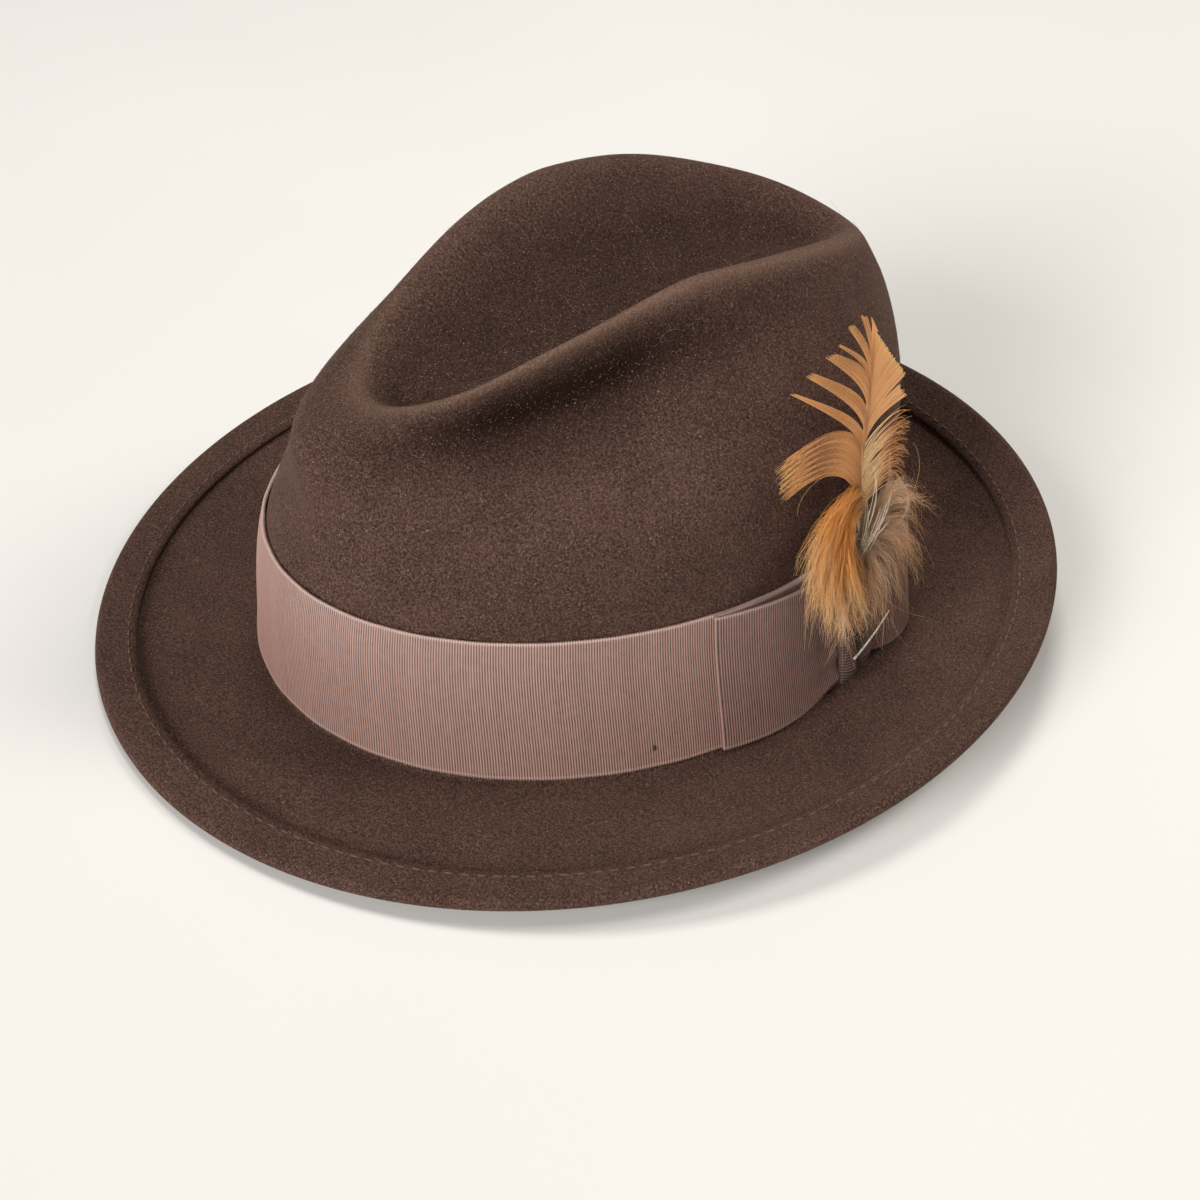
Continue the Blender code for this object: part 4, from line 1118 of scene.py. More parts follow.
def make_felt(settings):
    """Crown, brim and folded welt in one piece of felt, with its nap."""
    surface = felt_surface(settings)
    azimuth = np.arange(FELT_COLUMNS) * FULL_TURN / FELT_COLUMNS
    parts = felt_rows(azimuth)
    felt = sheet_object("felt", np.concatenate(parts), surface, **felt_marks(azimuth, parts))
    add_thickness(felt, FELT_THICKNESS)
    settle(felt, HAT_BODY, "felt", "felt_body")
    crown, _, brim, _, flap = parts
    above_band = crown[:round(CROWN_STEPS * (CREASE_SECTION - NAP_END_SECTION) / CREASE_SECTION)]
    welt_top = flap + brim_directions(azimuth, 1.0)[1] * FELT_THICKNESS
    underside = brim + grid_normals(brim) * FELT_THICKNESS
    faces, corners = [], []
    for grid in (above_band, brim[NAP_BRIM_ROWS], welt_top[::-1], underside[::-1]):
        faces += (grid_faces(len(grid), FELT_COLUMNS, True) + sum(map(len, corners))).tolist()
        corners.append(grid.reshape(-1, 3))
    mesh = bpy.data.meshes.new("nap_ground")
    mesh.from_pydata(np.concatenate(corners).tolist(), [], faces)
    sizes = {"Density": settings.nap_density, "Length": settings.nap_length,
             "Radius": settings.nap_radius, "Seed": NAP_SEED}
    fibre = thread_surface("nap_fibre", settings.fleck_color)
    settle(grow("felt_nap", mesh, nap_tree, sizes, fibre), HAT_BODY, "felt")
    stray_fibres(crown, fibre)


def ribs_along(lengths, settings):
    """Height of the ribs at each distance along a ribbon."""
    return settings.rib_depth * np.abs(np.sin(math.pi * lengths / settings.rib_pitch))


def ribbon_levels(lengths, settings):
    """Distances across the ribbon for its rows, with small loops along both woven edges."""
    edge = settings.edge_width
    inner = np.linspace(edge, RIBBON_WIDTH - edge, RIBBON_ROWS)
    levels = np.concatenate([[0, edge / 2], inner, [RIBBON_WIDTH - edge / 2, RIBBON_WIDTH]])
    rows = np.repeat(levels[:, None], len(lengths), axis=1)
    loops = ribs_along(lengths, settings) * settings.loop_share
    rows[0] -= loops
    rows[-1] += loops * UPPER_LOOP_SHARE
    return rows


def ribbon_strip(name, grid, levels, lengths, surface, settings, facing=1):
    """A ribbed strip of ribbon around a middle layer, with its ribs on the facing side."""
    normal = facing * grid_normals(grid)
    front = grid + normal * (RIBBON_THICKNESS / 2 + ribs_along(lengths, settings))[..., None]
    back = grid - normal * RIBBON_THICKNESS / 2
    marks = np.stack([np.broadcast_to(lengths, levels.shape), levels], axis=-1)
    return strip_object(name, front, back, marks, surface)


def make_band(surface, settings):
    """The ribbon round the crown, whose ends meet under the bow."""
    gap = wall_turn(BOW_AZIMUTH, BAND_BUTT_GAP / 2)
    spacing = settings.rib_pitch / COLUMNS_PER_RIB
    azimuth, lengths = even_azimuths(BOW_AZIMUTH + gap, BOW_AZIMUTH + FULL_TURN - gap, spacing)
    levels = ribbon_levels(lengths, settings)
    long_wave, short_wave = (np.sin(FULL_TURN * lengths / wave) for wave in BAND_WAVES)
    ease = BAND_EASE * (1 + long_wave * short_wave)
    grid = wall_points(azimuth, levels, SEAT_GAP + RIBBON_THICKNESS / 2 + ease)
    band = ribbon_strip("ribbon_band", grid, levels, lengths, surface, settings)
    settle(band, HAT_BODY, "ribbon", "hat_band")


def make_bow_wing(name, node, direction, length, loft, surface, settings):
    """A loop of ribbon folded at its far end, puckered where the knot holds it."""
    inner = 2 * SEAT_GAP + 1.5 * RIBBON_THICKNESS
    outer = inner + SEAT_GAP + RIBBON_THICKNESS
    bend = (outer - inner) / 2
    total = 2 * length + math.pi * bend
    spacing = settings.rib_pitch / COLUMNS_PER_RIB
    lengths = np.linspace(0, total, round(total / spacing) + 1)
    angle = np.clip((lengths - length) / bend, 0, math.pi)
    reach = np.where(lengths < length, lengths, np.maximum(total - lengths, 0))
    reach = np.where((angle > 0) & (angle < math.pi), length + bend * np.sin(angle), reach)
    clear = np.clip((reach - KNOT_WIDTH / 2) / (length - KNOT_WIDTH / 2), 0, 1)
    on_top = angle >= math.pi
    flat_levels = ribbon_levels(lengths, settings)
    gather = np.where(on_top, np.exp(-np.maximum(reach - KNOT_WIDTH / 2, 0) / GATHER_LENGTH), 0)
    levels = flat_levels + (RIBBON_WIDTH / 2 - flat_levels) * GATHER_SHARE * gather
    pucker = gather * np.where(reach > KNOT_WIDTH / 4, 1, 0)
    folds = PUCKER_DEPTH * pucker * (1 + np.sin(FULL_TURN * flat_levels / PUCKER_PITCH + PUCKER_PHASE)) / 2
    puff = np.where(on_top, loft * np.sin(math.pi * clear) + folds, 0)
    offset = inner + bend * (1 - np.cos(angle)) + puff
    start = wall_turn(BOW_AZIMUTH, BAND_BUTT_GAP / 2)
    azimuth = BOW_AZIMUTH + direction * (start + wall_turn(BOW_AZIMUTH, 1.0) * reach)
    grid = wall_points(azimuth, levels, offset)
    wing = ribbon_strip(name, grid, flat_levels, lengths, surface, settings, -direction)
    settle(wing, HAT_BODY, "ribbon", node)


def knot_seat():
    """Offset of the knot's inner face where its sides lie on the wings."""
    return 4 * SEAT_GAP + 3 * RIBBON_THICKNESS


def quill_lean():
    """How much faster than the band the quill leaves the crown's wall as it rises."""
    azimuth = np.array([BOW_AZIMUTH + wall_turn(BOW_AZIMUTH, KNOT_WIDTH / 4)])
    ends = np.array([[SHAFT_FOOT_HEIGHT], [RIBBON_WIDTH]])
    low, high = wall_points(azimuth, ends, knot_seat() + SHAFT_RADIUS)[:, 0]
    facing = wall_normals(azimuth, np.array([[SHAFT_FOOT_HEIGHT]]))[0, 0]
    return float((np.array(SPRAY_JOINT["axis"]) - unit(high - low)) @ facing)


def sheet_size(grid):
    """Mean lengths of a grid's columns and rows, the size that its sheet is cut to."""
    down, along = (walked_length(rows)[-1].mean() for rows in (grid, grid.swapaxes(0, 1)))
    return float(down), float(along)


def make_knot(surface, settings):
    """Two upright pleats over the middle of the bow, with bold ribs across them."""
    foot = (RIBBON_WIDTH - KNOT_HEIGHT) / 2
    pitch = settings.knot_rib_pitch
    climbs = np.linspace(0, KNOT_HEIGHT, round(KNOT_HEIGHT / pitch * COLUMNS_PER_KNOT_RIB) + 1)
    across = np.linspace(0, 1, PLEAT_COLUMNS)
    sides = PLEAT_FRONT + (PLEAT_BACK - PLEAT_FRONT) * across
    azimuth = BOW_AZIMUTH + wall_turn(BOW_AZIMUTH, 1.0) * sides
    front_pleat = np.sin(math.pi * np.clip(across / PLEAT_SPLIT, 0, 1))
    back_pleat = np.sin(math.pi * np.clip((across - PLEAT_SPLIT) / (1 - PLEAT_SPLIT), 0, 1))
    swell = np.maximum(front_pleat, 0) ** KNOT_ROUNDNESS + np.maximum(back_pleat, 0) ** KNOT_ROUNDNESS
    opening = quill_lean() * np.maximum(foot + climbs - SHAFT_FOOT_HEIGHT, 0)
    lift = 2 * SHAFT_RADIUS + 3 * SEAT_GAP + opening
    closing = np.sqrt(np.clip(climbs / PLEAT_CLOSING, 0, 1))
    offset = knot_seat() + RIBBON_THICKNESS / 2 + (lift * closing)[:, None] * swell[None, :]
    slant = PLEAT_SLANT * (across - 0.5)
    levels = (foot + climbs)[:, None] + slant[None, :]
    grid = wall_points(azimuth, levels, offset)
    ribs = settings.knot_rib_depth * np.abs(np.sin(math.pi * climbs / pitch))
    normal = grid_normals(grid)
    front = grid + normal * (RIBBON_THICKNESS / 2 + ribs[:, None])[..., None]
    back = grid - normal * RIBBON_THICKNESS / 2
    ribbon_lengths = (climbs * settings.rib_pitch / pitch)[:, None] + 0 * levels
    marks = np.stack([ribbon_lengths, np.broadcast_to(RIBBON_WIDTH * across, levels.shape)], axis=-1)
    pleats = strip_object("bow_pleats", front, back, marks, surface)
    settle(pleats, HAT_BODY, "ribbon", "bow_knot")
    sheet_size(grid)


def make_small_bow(surface, settings):
    """The small flat bow over the sweatband's seam at the back."""
    spacing = settings.rib_pitch / COLUMNS_PER_RIB
    lengths = np.linspace(0, SMALL_BOW_LENGTH, round(SMALL_BOW_LENGTH / spacing) + 1)
    side = 2 * lengths / SMALL_BOW_LENGTH - 1
    azimuth = math.pi + side * wall_turn(math.pi, SMALL_BOW_LENGTH / 2)
    waist = SMALL_BOW_WAIST + (1 - SMALL_BOW_WAIST) * np.abs(side)
    across = np.linspace(-0.5, 0.5, SMALL_BOW_ROWS)
    levels = SMALL_BOW_LEVEL + across[:, None] * SMALL_BOW_HEIGHT * waist[None, :]
    depth = sweatband_depth() + SWEATBAND_THICKNESS + 2 * SEAT_GAP + RIBBON_THICKNESS / 2
    ripples = np.cos(SMALL_BOW_FOLDS * FULL_TURN * across)[:, None]
    folds = SMALL_BOW_FOLD * (1 - np.abs(side)) * ripples * np.abs(side)
    grid = wall_points(azimuth, levels, -depth - np.abs(folds))
    marks_across = (across[:, None] + 0.5) * RIBBON_WIDTH + 0 * levels
    bow = ribbon_strip("seam_bow", grid, marks_across, lengths, surface, settings, -1)
    settle(bow, HAT_BODY, "ribbon", "sweatband_bow")


def make_stitching(settings):
    """Stitches on the welt and the sweatband, and the tacks of the band."""
    surface = thread_surface("sewing_thread", settings.thread_color)
    azimuth = np.arange(FELT_COLUMNS) * FULL_TURN / FELT_COLUMNS
    share = brim_share(azimuth, WELT_STITCH_INSET)
    height = WELT_GAP + FELT_THICKNESS + settings.stitch_radius * WELT_STITCH_LIFT
    points = brim_points(azimuth, share) + brim_directions(azimuth, share)[1] * height
    welt = stitch_object("welt_stitches", points, settings.stitch_pitch, settings.stitch_length,
                         settings.stitch_radius, surface)
    settle(welt, HAT_BODY, "thread", "welt_stitching")
    depth = sweatband_depth() + SWEATBAND_THICKNESS + settings.stitch_radius * INSIDE_STITCH_LIFT
    points = wall_points(azimuth, np.array([[SWEATBAND_STITCH_HEIGHT]]), -depth)[0]
    inside = stitch_object("sweatband_stitches", points, settings.stitch_pitch * INSIDE_PITCH_SHARE,
                           settings.stitch_length, settings.stitch_radius, surface)
    settle(inside, HAT_BODY, "thread", "sweatband_stitching")
    climbs = TACK_HEIGHT + TACK_LENGTH * np.linspace(0, 1, TACK_STEPS)
    arch = np.sin(np.linspace(0, math.pi, TACK_STEPS))
    offset = SEAT_GAP + RIBBON_THICKNESS + TACK_RADIUS * (TACK_LIFT + arch)
    tacks = wall_points(np.array(TACK_AZIMUTHS), climbs[:, None], offset[:, None]).transpose(1, 0, 2)
    radius = TACK_RADIUS * (TACK_END_SHARE + (1 - TACK_END_SHARE) * arch)[None, :]
    dark = thread_surface("tack_thread", shade(settings.thread_color, TACK_SHADE))
    settle(strand_object("ribbon_tacks", tacks, radius, dark, sides=8), HAT_BODY, "thread",
           "band_tack_1", "band_tack_2", "band_tack_3")


def lining_depth():
    """Depth of the lining under the felt's outside."""
    return FELT_THICKNESS + LINING_CLEARANCE


def sweatband_depth():
    """Depth of the sweatband, which lies over the lining's lower edge."""
    return lining_depth() + LINING_THICKNESS + SEAT_GAP


def make_inside(settings):
    """The leather sweatband and its reed, and the satin lining with its piping."""
    leather = leather_surface(settings.leather_color)
    gap = wall_turn(math.pi, SWEATBAND_SEAM_GAP / 2)
    azimuth = np.linspace(math.pi + gap, 3 * math.pi - gap, INSIDE_COLUMNS + 1)
    foot = 2 * REED_RADIUS + SEAT_GAP
    share = np.linspace(0, 1, SWEATBAND_ROWS)
    climbs = foot + SWEATBAND_HEIGHT * share
    sag = SWEATBAND_SAG * np.sin(SWEATBAND_WAVES * azimuth + SWEATBAND_PHASE) * share[:, None] ** 2
    levels = np.repeat(climbs[:, None], len(azimuth), axis=1)
    middle = sweatband_depth() + SWEATBAND_THICKNESS / 2 + SWEATBAND_SAG + sag
    grid = wall_points(azimuth, levels, -middle)
    normal = grid_normals(grid)
    full, power, thinnest = SWEATBAND_EDGE
    thinned = np.clip(full - np.linspace(-1, 1, SWEATBAND_ROWS) ** power, thinnest, 1)
    half = SWEATBAND_THICKNESS / 2 * thinned[:, None, None]
    marks = np.stack([np.broadcast_to(azimuth, levels.shape), levels], axis=-1)
    band = strip_object("leather_sweatband", grid + normal * half, grid - normal * half, marks, leather)
    settle(band, HAT_BODY, "sweat_leather", "sweatband")
    around = np.arange(INSIDE_COLUMNS) * FULL_TURN / INSIDE_COLUMNS
    depth = FELT_THICKNESS + 2 * SEAT_GAP + REED_RADIUS
    ring = wall_points(around, np.array([[REED_RADIUS]]), -depth)
    reed = strand_object("reed", ring, REED_RADIUS, reed_surface(settings.reed_color), sides=10, closed=True)
    settle(reed, HAT_BODY, "reed", "sweatband_reed")
    satin = satin_surface(settings.satin_color)
    side = crown_rows(around, np.linspace(LINING_SEAM_SECTION, LINING_START_SECTION, LINING_ROWS))
    drift = LINING_FOLD_DRIFT * np.sin(LINING_DRIFT_WAVES * around)
    gathers = LINING_FOLD_HEIGHT * (1 + np.sin(LINING_FOLDS * around + drift))
    fade = np.linspace(1, LINING_FOLD_FADE, LINING_ROWS)[:, None]
    side = side + grid_normals(side) * (gathers * fade)[..., None]
    side_piece = sheet_object("lining_wall", side, satin)
    add_thickness(side_piece, LINING_THICKNESS, lining_depth())
    settle(side_piece, HAT_BODY, "satin", "lining_side")
    sheet_size(side)
    seam = LINING_SEAM_SECTION + LINING_SEAM_SPACE
    tip = crown_rows(around, np.linspace(CREASE_SECTION, seam, LINING_ROWS))
    tip_piece = sheet_object("lining_top", tip, satin)
    add_thickness(tip_piece, LINING_THICKNESS, lining_depth())
    settle(tip_piece, HAT_BODY, "satin", "lining_tip")
    make_piping(satin)


def make_piping(satin):
    """The two-ply cord over the seam between the lining's side and tip."""
    around = np.arange(PIPING_COLUMNS) * FULL_TURN / PIPING_COLUMNS
    rows = crown_rows(around, LINING_SEAM_SECTION + np.array([-SHARE_STEP, 0, SHARE_STEP]))
    inward = grid_normals(rows)[1]
    inward = np.where((inward * rows[1]).sum(axis=1, keepdims=True) > 0, -inward, inward)
    depth = lining_depth() + LINING_THICKNESS + SEAT_GAP + PIPING_RADIUS
    middle = rows[1] + inward * depth
    along = unit(np.roll(middle, -1, axis=0) - np.roll(middle, 1, axis=0))
    across = np.cross(along, inward)
    turn = PIPING_TURNS * around
    plies = []
    for phase in (0, math.pi):
        swing = inward * np.cos(turn + phase)[:, None] + across * np.sin(turn + phase)[:, None]
        plies.append(middle + swing * PIPING_RADIUS * PLY_OFFSET)
    radius = PIPING_RADIUS * PLY_RADIUS
    cord = strand_object("lining_cord", np.stack(plies), radius, satin, sides=6, closed=True)
    settle(cord, HAT_BODY, "satin", "lining_piping")


def curve_points(controls, reach, steps):
    """Cubic curves as (strand, step) points. Reach is the share of each curve that is kept."""
    share = (reach[:, None] * np.linspace(0, 1, steps))[..., None]
    start, first, second, end = (controls[:, None, number] for number in range(4))
    rest = 1 - share
    return (start * rest ** 3 + 3 * first * rest ** 2 * share
            + 3 * second * rest * share ** 2 + end * share ** 3)


def patch_strands(random, edges, count, spill):
    """Barbs side by side from one edge curve of a vane to the other, as places and touching radii."""
    share = np.linspace(0, 1, count)[:, None, None]
    controls = edges[0] + (edges[1] - edges[0]) * share
    whole = curve_points(controls, np.ones(count), BARB_STEPS)
    along = unit(np.gradient(whole, axis=1))
    across = np.gradient(whole, axis=0)
    apart = np.linalg.norm(across - (across * along).sum(axis=-1, keepdims=True) * along, axis=-1)
    taper = np.linspace(1, BARB_TIP_SHARE, BARB_STEPS)
    radius = np.clip(BARB_OVERLAP * apart, THINNEST_BARB, THICKEST_BARB) * taper
    places = curve_points(controls, 1 - spill * random.random(count), BARB_STEPS)
    places[..., 2] += random.normal(0, BARB_UNEVENNESS, (count, 1))
    return places, radius


def fan_strands(random, guides, locks, strands, shortest, wave, spread=1.0):
    """Loose strands in pointed locks, fanned out between guide curves, with a tone for each strand."""
    place = random.uniform(0, len(guides) - 1, locks)
    low = np.minimum(place.astype(int), len(guides) - 2)
    middles = guides[low] + (guides[low + 1] - guides[low]) * (place - low)[:, None, None]
    middles = middles + random.normal(0, spread, middles.shape) * LOCK_SPREAD
    controls = np.repeat(middles, strands, axis=0)
    controls = controls + random.normal(0, spread, controls.shape) * STRAND_SPREAD
    count = len(controls)
    places = curve_points(controls, random.uniform(shortest, 1, count), DOWN_STEPS)
    share = np.linspace(0, 1, DOWN_STEPS)[None, :, None]
    phase = random.uniform(0, FULL_TURN, (count, 1, 3))
    turns = random.uniform(*WAVE_TURNS, (count, 1, 3))
    places = places + wave * share * np.sin(phase + FULL_TURN * turns * share)
    tone = np.repeat(random.uniform(*LOCK_TONES, locks), strands)
    tone = tone + random.uniform(*STRAND_TONES, count)
    return places, np.clip(tone, 0, 1)[:, None]


def quill_side(rise):
    """How far the bent quill is to the side of its straight foot at each rise."""
    rises, sides = np.array(QUILL_BEND).T
    return np.interp(rise, rises, sides)


def millimetres(points):
    """Points that are written in millimetres, in metres."""
    return np.array(points) * MILLIMETRE


def finger_edge(root, tip, lift):
    """The edge curve of a group of barbs: it clings to the quill, then runs straight to its tip."""
    start = np.array([quill_side(root), root, QUILL_COVER])
    bend = np.array([quill_side(root + BARB_CLING), root + BARB_CLING, QUILL_COVER])
    end = np.array([*tip, lift])
    return millimetres([start, bend, bend + (end - bend) * BARB_STRAIGHTEN, end])


def make_tall_vane(settings):
    """The tall trimmed vane: slit fingers to the front and a cut point to the back."""
    random = np.random.default_rng(TALL_SEED)
    groups = []
    for low, high, low_tip, high_tip, lift, count in TALL_FINGERS:
        edges = finger_edge(low, low_tip, lift), finger_edge(high, high_tip, lift)
        pale = np.full((count, 1), POINT_PALENESS if low_tip[0] > 0 else 0.0)
        groups.append((*patch_strands(random, edges, count, TALL_SPILL), pale))
    places, radius, pale = (np.concatenate(kind) for kind in zip(*groups))
    tone = np.clip(pale + random.normal(*TALL_TONE, (len(places), 1)), 0, 1)
    stops = tones(settings.tan_color, (0.0, 0.6), (0.35, 0.95), (0.8, 1.0), (1.0, 1.2))
    surface = barb_surface("tan_barbs", stops)
    vane = strand_object("tall_vane", spray_points(places), radius, surface, tone)
    settle(vane, SPRAY_BODY, "tan_barbs", "main_feather")
    make_curled_vane(surface)


def make_curled_vane(surface):
    """The broad vane that sweeps to the front, away from the crown, and curls down in ragged tufts."""
    random = np.random.default_rng(CURLED_SEED)
    places, radius = patch_strands(random, millimetres(CURLED_EDGES), CURLED_BARBS, CURLED_SPILL)
    share = np.linspace(0, 1, len(places))
    tufts = np.sin(FULL_TURN * CURLED_TUFTS * share)[:, None] * np.linspace(0, 1, BARB_STEPS) ** TUFT_START
    places[..., 1] -= TUFT_DROP * tufts
    places[..., 2] += TUFT_LIFT * tufts
    tone = np.clip(random.normal(*CURLED_TONE, (len(places), 1)), 0, 1)
    vane = strand_object("curled_vane", spray_points(places), radius, surface, tone)
    settle(vane, SPRAY_BODY, "tan_barbs", "curled_feather")


def make_pale_vane(settings):
    """Pale barbs to the back of the quill, each ending in a small hook, over whitish streaks."""
    random = np.random.default_rng(PALE_SEED)
    root, reach, climb, droop = (
        np.linspace(lowest, highest, PALE_BARBS) + random.normal(0, scatter, PALE_BARBS)
        for lowest, highest, scatter in (PALE_ROOTS, PALE_REACH, PALE_CLIMB, PALE_DROOP))
    lift = np.linspace(*PALE_LIFT, PALE_BARBS)
    tip_lift = lift + random.uniform(0, PALE_TIP_LIFT, PALE_BARBS)
    start = quill_side(root)
    out, up = PALE_HOOK
    controls = millimetres([[start, root, 0 * root],
                            [start + PALE_FOOT_SIDE, root + climb, lift * PALE_FOOT_LIFT],
                            [reach * out, root + climb * up, lift],
                            [reach, root + climb - droop, tip_lift]])
    places = curve_points(controls.transpose(2, 0, 1), random.uniform(*PALE_LENGTHS, PALE_BARBS), BARB_STEPS)
    thickness = settings.barb_radius * random.uniform(*PALE_THICKNESS, (PALE_BARBS, 1))
    radius = np.linspace(1, PALE_TIP_SHARE, BARB_STEPS) * thickness
    tone = random.uniform(*PALE_TONES, (PALE_BARBS, 1))
    stops = tones(settings.pale_color, (0.0, 1.05), (0.45, 1.0))
    stops += tones(settings.tan_color, (0.75, 0.95), (1.0, 0.55))
    surface = barb_surface("pale_barbs", stops)
    vane = strand_object("pale_vane", spray_points(places), radius, surface, tone)
    settle(vane, SPRAY_BODY, "pale_barbs", "pale_feather")
    make_streaks(random, settings)


def make_streaks(random, settings):
    """Whitish streaks that stand up beside the quill's foot."""
    guides = millimetres(STREAK_GUIDES)
    places, tone = fan_strands(random, guides, *STREAK_LOCKS, STREAK_WAVE, STREAK_SPREAD)
    tone = STREAK_DARKEST + (1 - STREAK_DARKEST) * tone
    radius = np.linspace(*STREAK_TAPER, DOWN_STEPS)[None, :] * settings.barb_radius
    stops = tones(settings.white_color, (0.0, 0.8), (0.3, 1.0), (0.85, 1.0))
    stops += tones(settings.pale_color, (1.0, 1.0))
    surface = barb_surface("white_barbs", stops)
    streaks = strand_object("white_streaks", spray_points(places), radius, surface, tone, sides=3)
    settle(streaks, SPRAY_BODY, "pale_barbs")


def make_fluff(settings):
    """The orange hackle to the front and the grey down below it and to the back."""
    random = np.random.default_rng(FLUFF_SEED)
    taper = np.linspace(1, FLUFF_TIP_SHARE, DOWN_STEPS)[None, :]
    places, tone = fan_strands(random, millimetres(HACKLE_GUIDES), *HACKLE_LOCKS, HACKLE_WAVE)
    loose = curve_points(millimetres(LOOSE_BARBS), np.ones(len(LOOSE_BARBS)), DOWN_STEPS)
    places = np.concatenate([places, loose])
    tone = np.concatenate([tone, np.full((len(loose), 1), LOOSE_TONE)])
    orange, grey = settings.orange_color, settings.grey_color
    stops = tones(orange, (0.0, 0.4), (0.3, 1.0), (0.65, 1.0)) + tones(settings.tip_color, (1.0, 1.0))
    surface = barb_surface("orange_down", stops, roughness=0.75)
    radius = taper * settings.hackle_radius
    tuft = strand_object("hackle_tuft", spray_points(places), radius, surface, tone, sides=3)
    settle(tuft, SPRAY_BODY, "orange_down", "orange_hackle")
    places, tone = fan_strands(random, millimetres(DOWN_GUIDES), *DOWN_LOCKS, DOWN_WAVE)
    stops = tones(grey, (0.0, 0.45), (0.45, 1.0), (0.8, 1.7)) + tones(orange, (1.0, 0.8))
    surface = barb_surface("grey_down", stops, roughness=0.8)
    radius = taper * settings.down_radius
    tuft = strand_object("down_tuft", spray_points(places), radius, surface, tone, sides=3)
    settle(tuft, SPRAY_BODY, "grey_down", "grey_down")


def make_quills(settings):
    """The main quill, the cut stub across the knot and the thread that ties them."""
    share = np.linspace(0, 1, SHAFT_STEPS)
    rise = SHAFT_LENGTH * share
    line = np.stack([millimetres(quill_side(rise / MILLIMETRE)), rise, 0 * share], axis=-1)[None]
    radius = SHAFT_RADIUS + (SHAFT_TIP_RADIUS - SHAFT_RADIUS) * np.sqrt(share)[None, :]
    quill = settings.quill_color
    stops = tones(quill, (0.0, 1.0), (0.5, 0.9)) + tones(settings.tan_color, (0.62, 0.9), (1.0, 1.0))
    horn = barb_surface("quill_horn", stops, roughness=0.42)
    shaft = strand_object("main_quill", spray_points(line), radius, horn, sides=10)
    settle(shaft, SPRAY_BODY, "quill", "feather_shaft")
    share = np.linspace(0, 1, STUB_STEPS)
    lift = STUB_RADIUS + STUB_LIFT
    rise = STUB_RISE + STUB_TILT * (share - 0.5)
    line = np.stack([STUB_SIDE + STUB_LENGTH * share, rise, lift + 0 * share], axis=-1)[None]
    radius = STUB_RADIUS * (1 - STUB_TIP_LOSS * share)[None, :]
    cut_horn = quill_surface(shade(quill, STUB_SHADE))
    stub = strand_object("cut_quill", spray_points(line), radius, cut_horn, sides=10)
    settle(stub, SPRAY_BODY, "quill", "quill_stub")
    turns = np.linspace(0, BINDING_TURNS * FULL_TURN, BINDING_STEPS)
    ring = SHAFT_RADIUS + BINDING_RADIUS
    rise = RIBBON_WIDTH - SHAFT_FOOT_HEIGHT + SEAT_GAP + BINDING_HEIGHT * turns / turns[-1]
    line = np.stack([ring * np.cos(turns), rise, ring * np.sin(turns)], axis=-1)[None]
    thread = thread_surface("binding_thread", settings.binding_color)
    radius = BINDING_RADIUS * BINDING_SHARE
    binding = strand_object("quill_binding", spray_points(line), radius, thread, sides=6)
    settle(binding, SPRAY_BODY, "thread", "spray_binding")


def camera_axes():
    """The camera's right, up and back directions."""
    level = math.cos(CAMERA_ELEVATION)
    back = np.array([math.sin(CAMERA_AZIMUTH) * level, -math.cos(CAMERA_AZIMUTH) * level,
                     math.sin(CAMERA_ELEVATION)])
    right = np.array([math.cos(CAMERA_AZIMUTH), math.sin(CAMERA_AZIMUTH), 0])
    upward = np.cross(back, right)
    rolled = right * math.cos(CAMERA_ROLL) + upward * math.sin(CAMERA_ROLL)
    return rolled, np.cross(back, rolled), back


def add_lamp(power, name, place, size, color):
    """A soft square light aimed at the hat."""
    lamp = bpy.data.lights.new(name, "AREA")
    lamp.size = size
    lamp.energy = power
    lamp.color = color
    item = bpy.data.objects.new(name, lamp)
    back = unit(np.array(place) - np.array(LAMP_TARGET))
    right = unit(np.cross((0, 0, 1), back))
    axes = np.stack([right, np.cross(back, right), back], axis=-1)
    item.matrix_world = Matrix.Translation(place) @ Matrix(axes.tolist()).to_4x4()
    bpy.context.scene.collection.objects.link(item)


def background_rays(tree):
    """Share of the rays that see the plain background: camera, glossy and transmission rays."""
    rays = add_node(tree, "ShaderNodeLightPath").outputs
    through = calculate(tree, "MAXIMUM", rays["Is Glossy Ray"], rays["Is Transmission Ray"])
    return calculate(tree, "MAXIMUM", rays["Is Camera Ray"], through)


def floor_surface(color):
    """A pale matt floor that keeps the hat's shadow and glows to the camera far away from it."""
    surface, tree, shader = new_surface("studio_floor", roughness=0.8, specular=0.2)
    place = object_place(tree)
    patches = noise(tree, place, scale=6)
    color_surface(tree, shader, ramp(tree, patches, tones(color, (0.3, 0.98), (0.7, 1.0))))
    distance = add_node(tree, "ShaderNodeVectorMath", {0: place}, operation="LENGTH").outputs["Value"]
    far = map_range(tree, distance, NEAR_FLOOR, FAR_FLOOR)
    glow = add_node(tree, "ShaderNodeEmission", {"Color": (*color, 1), "Strength": FAR_GLOW})
    share = calculate(tree, "MULTIPLY", far, background_rays(tree))
    both = add_node(tree, "ShaderNodeMixShader", {0: share, 1: shader.outputs[0], 2: glow.outputs[0]})
    tree.links.new(both.outputs[0], tree.nodes["Material Output"].inputs["Surface"])
    return surface


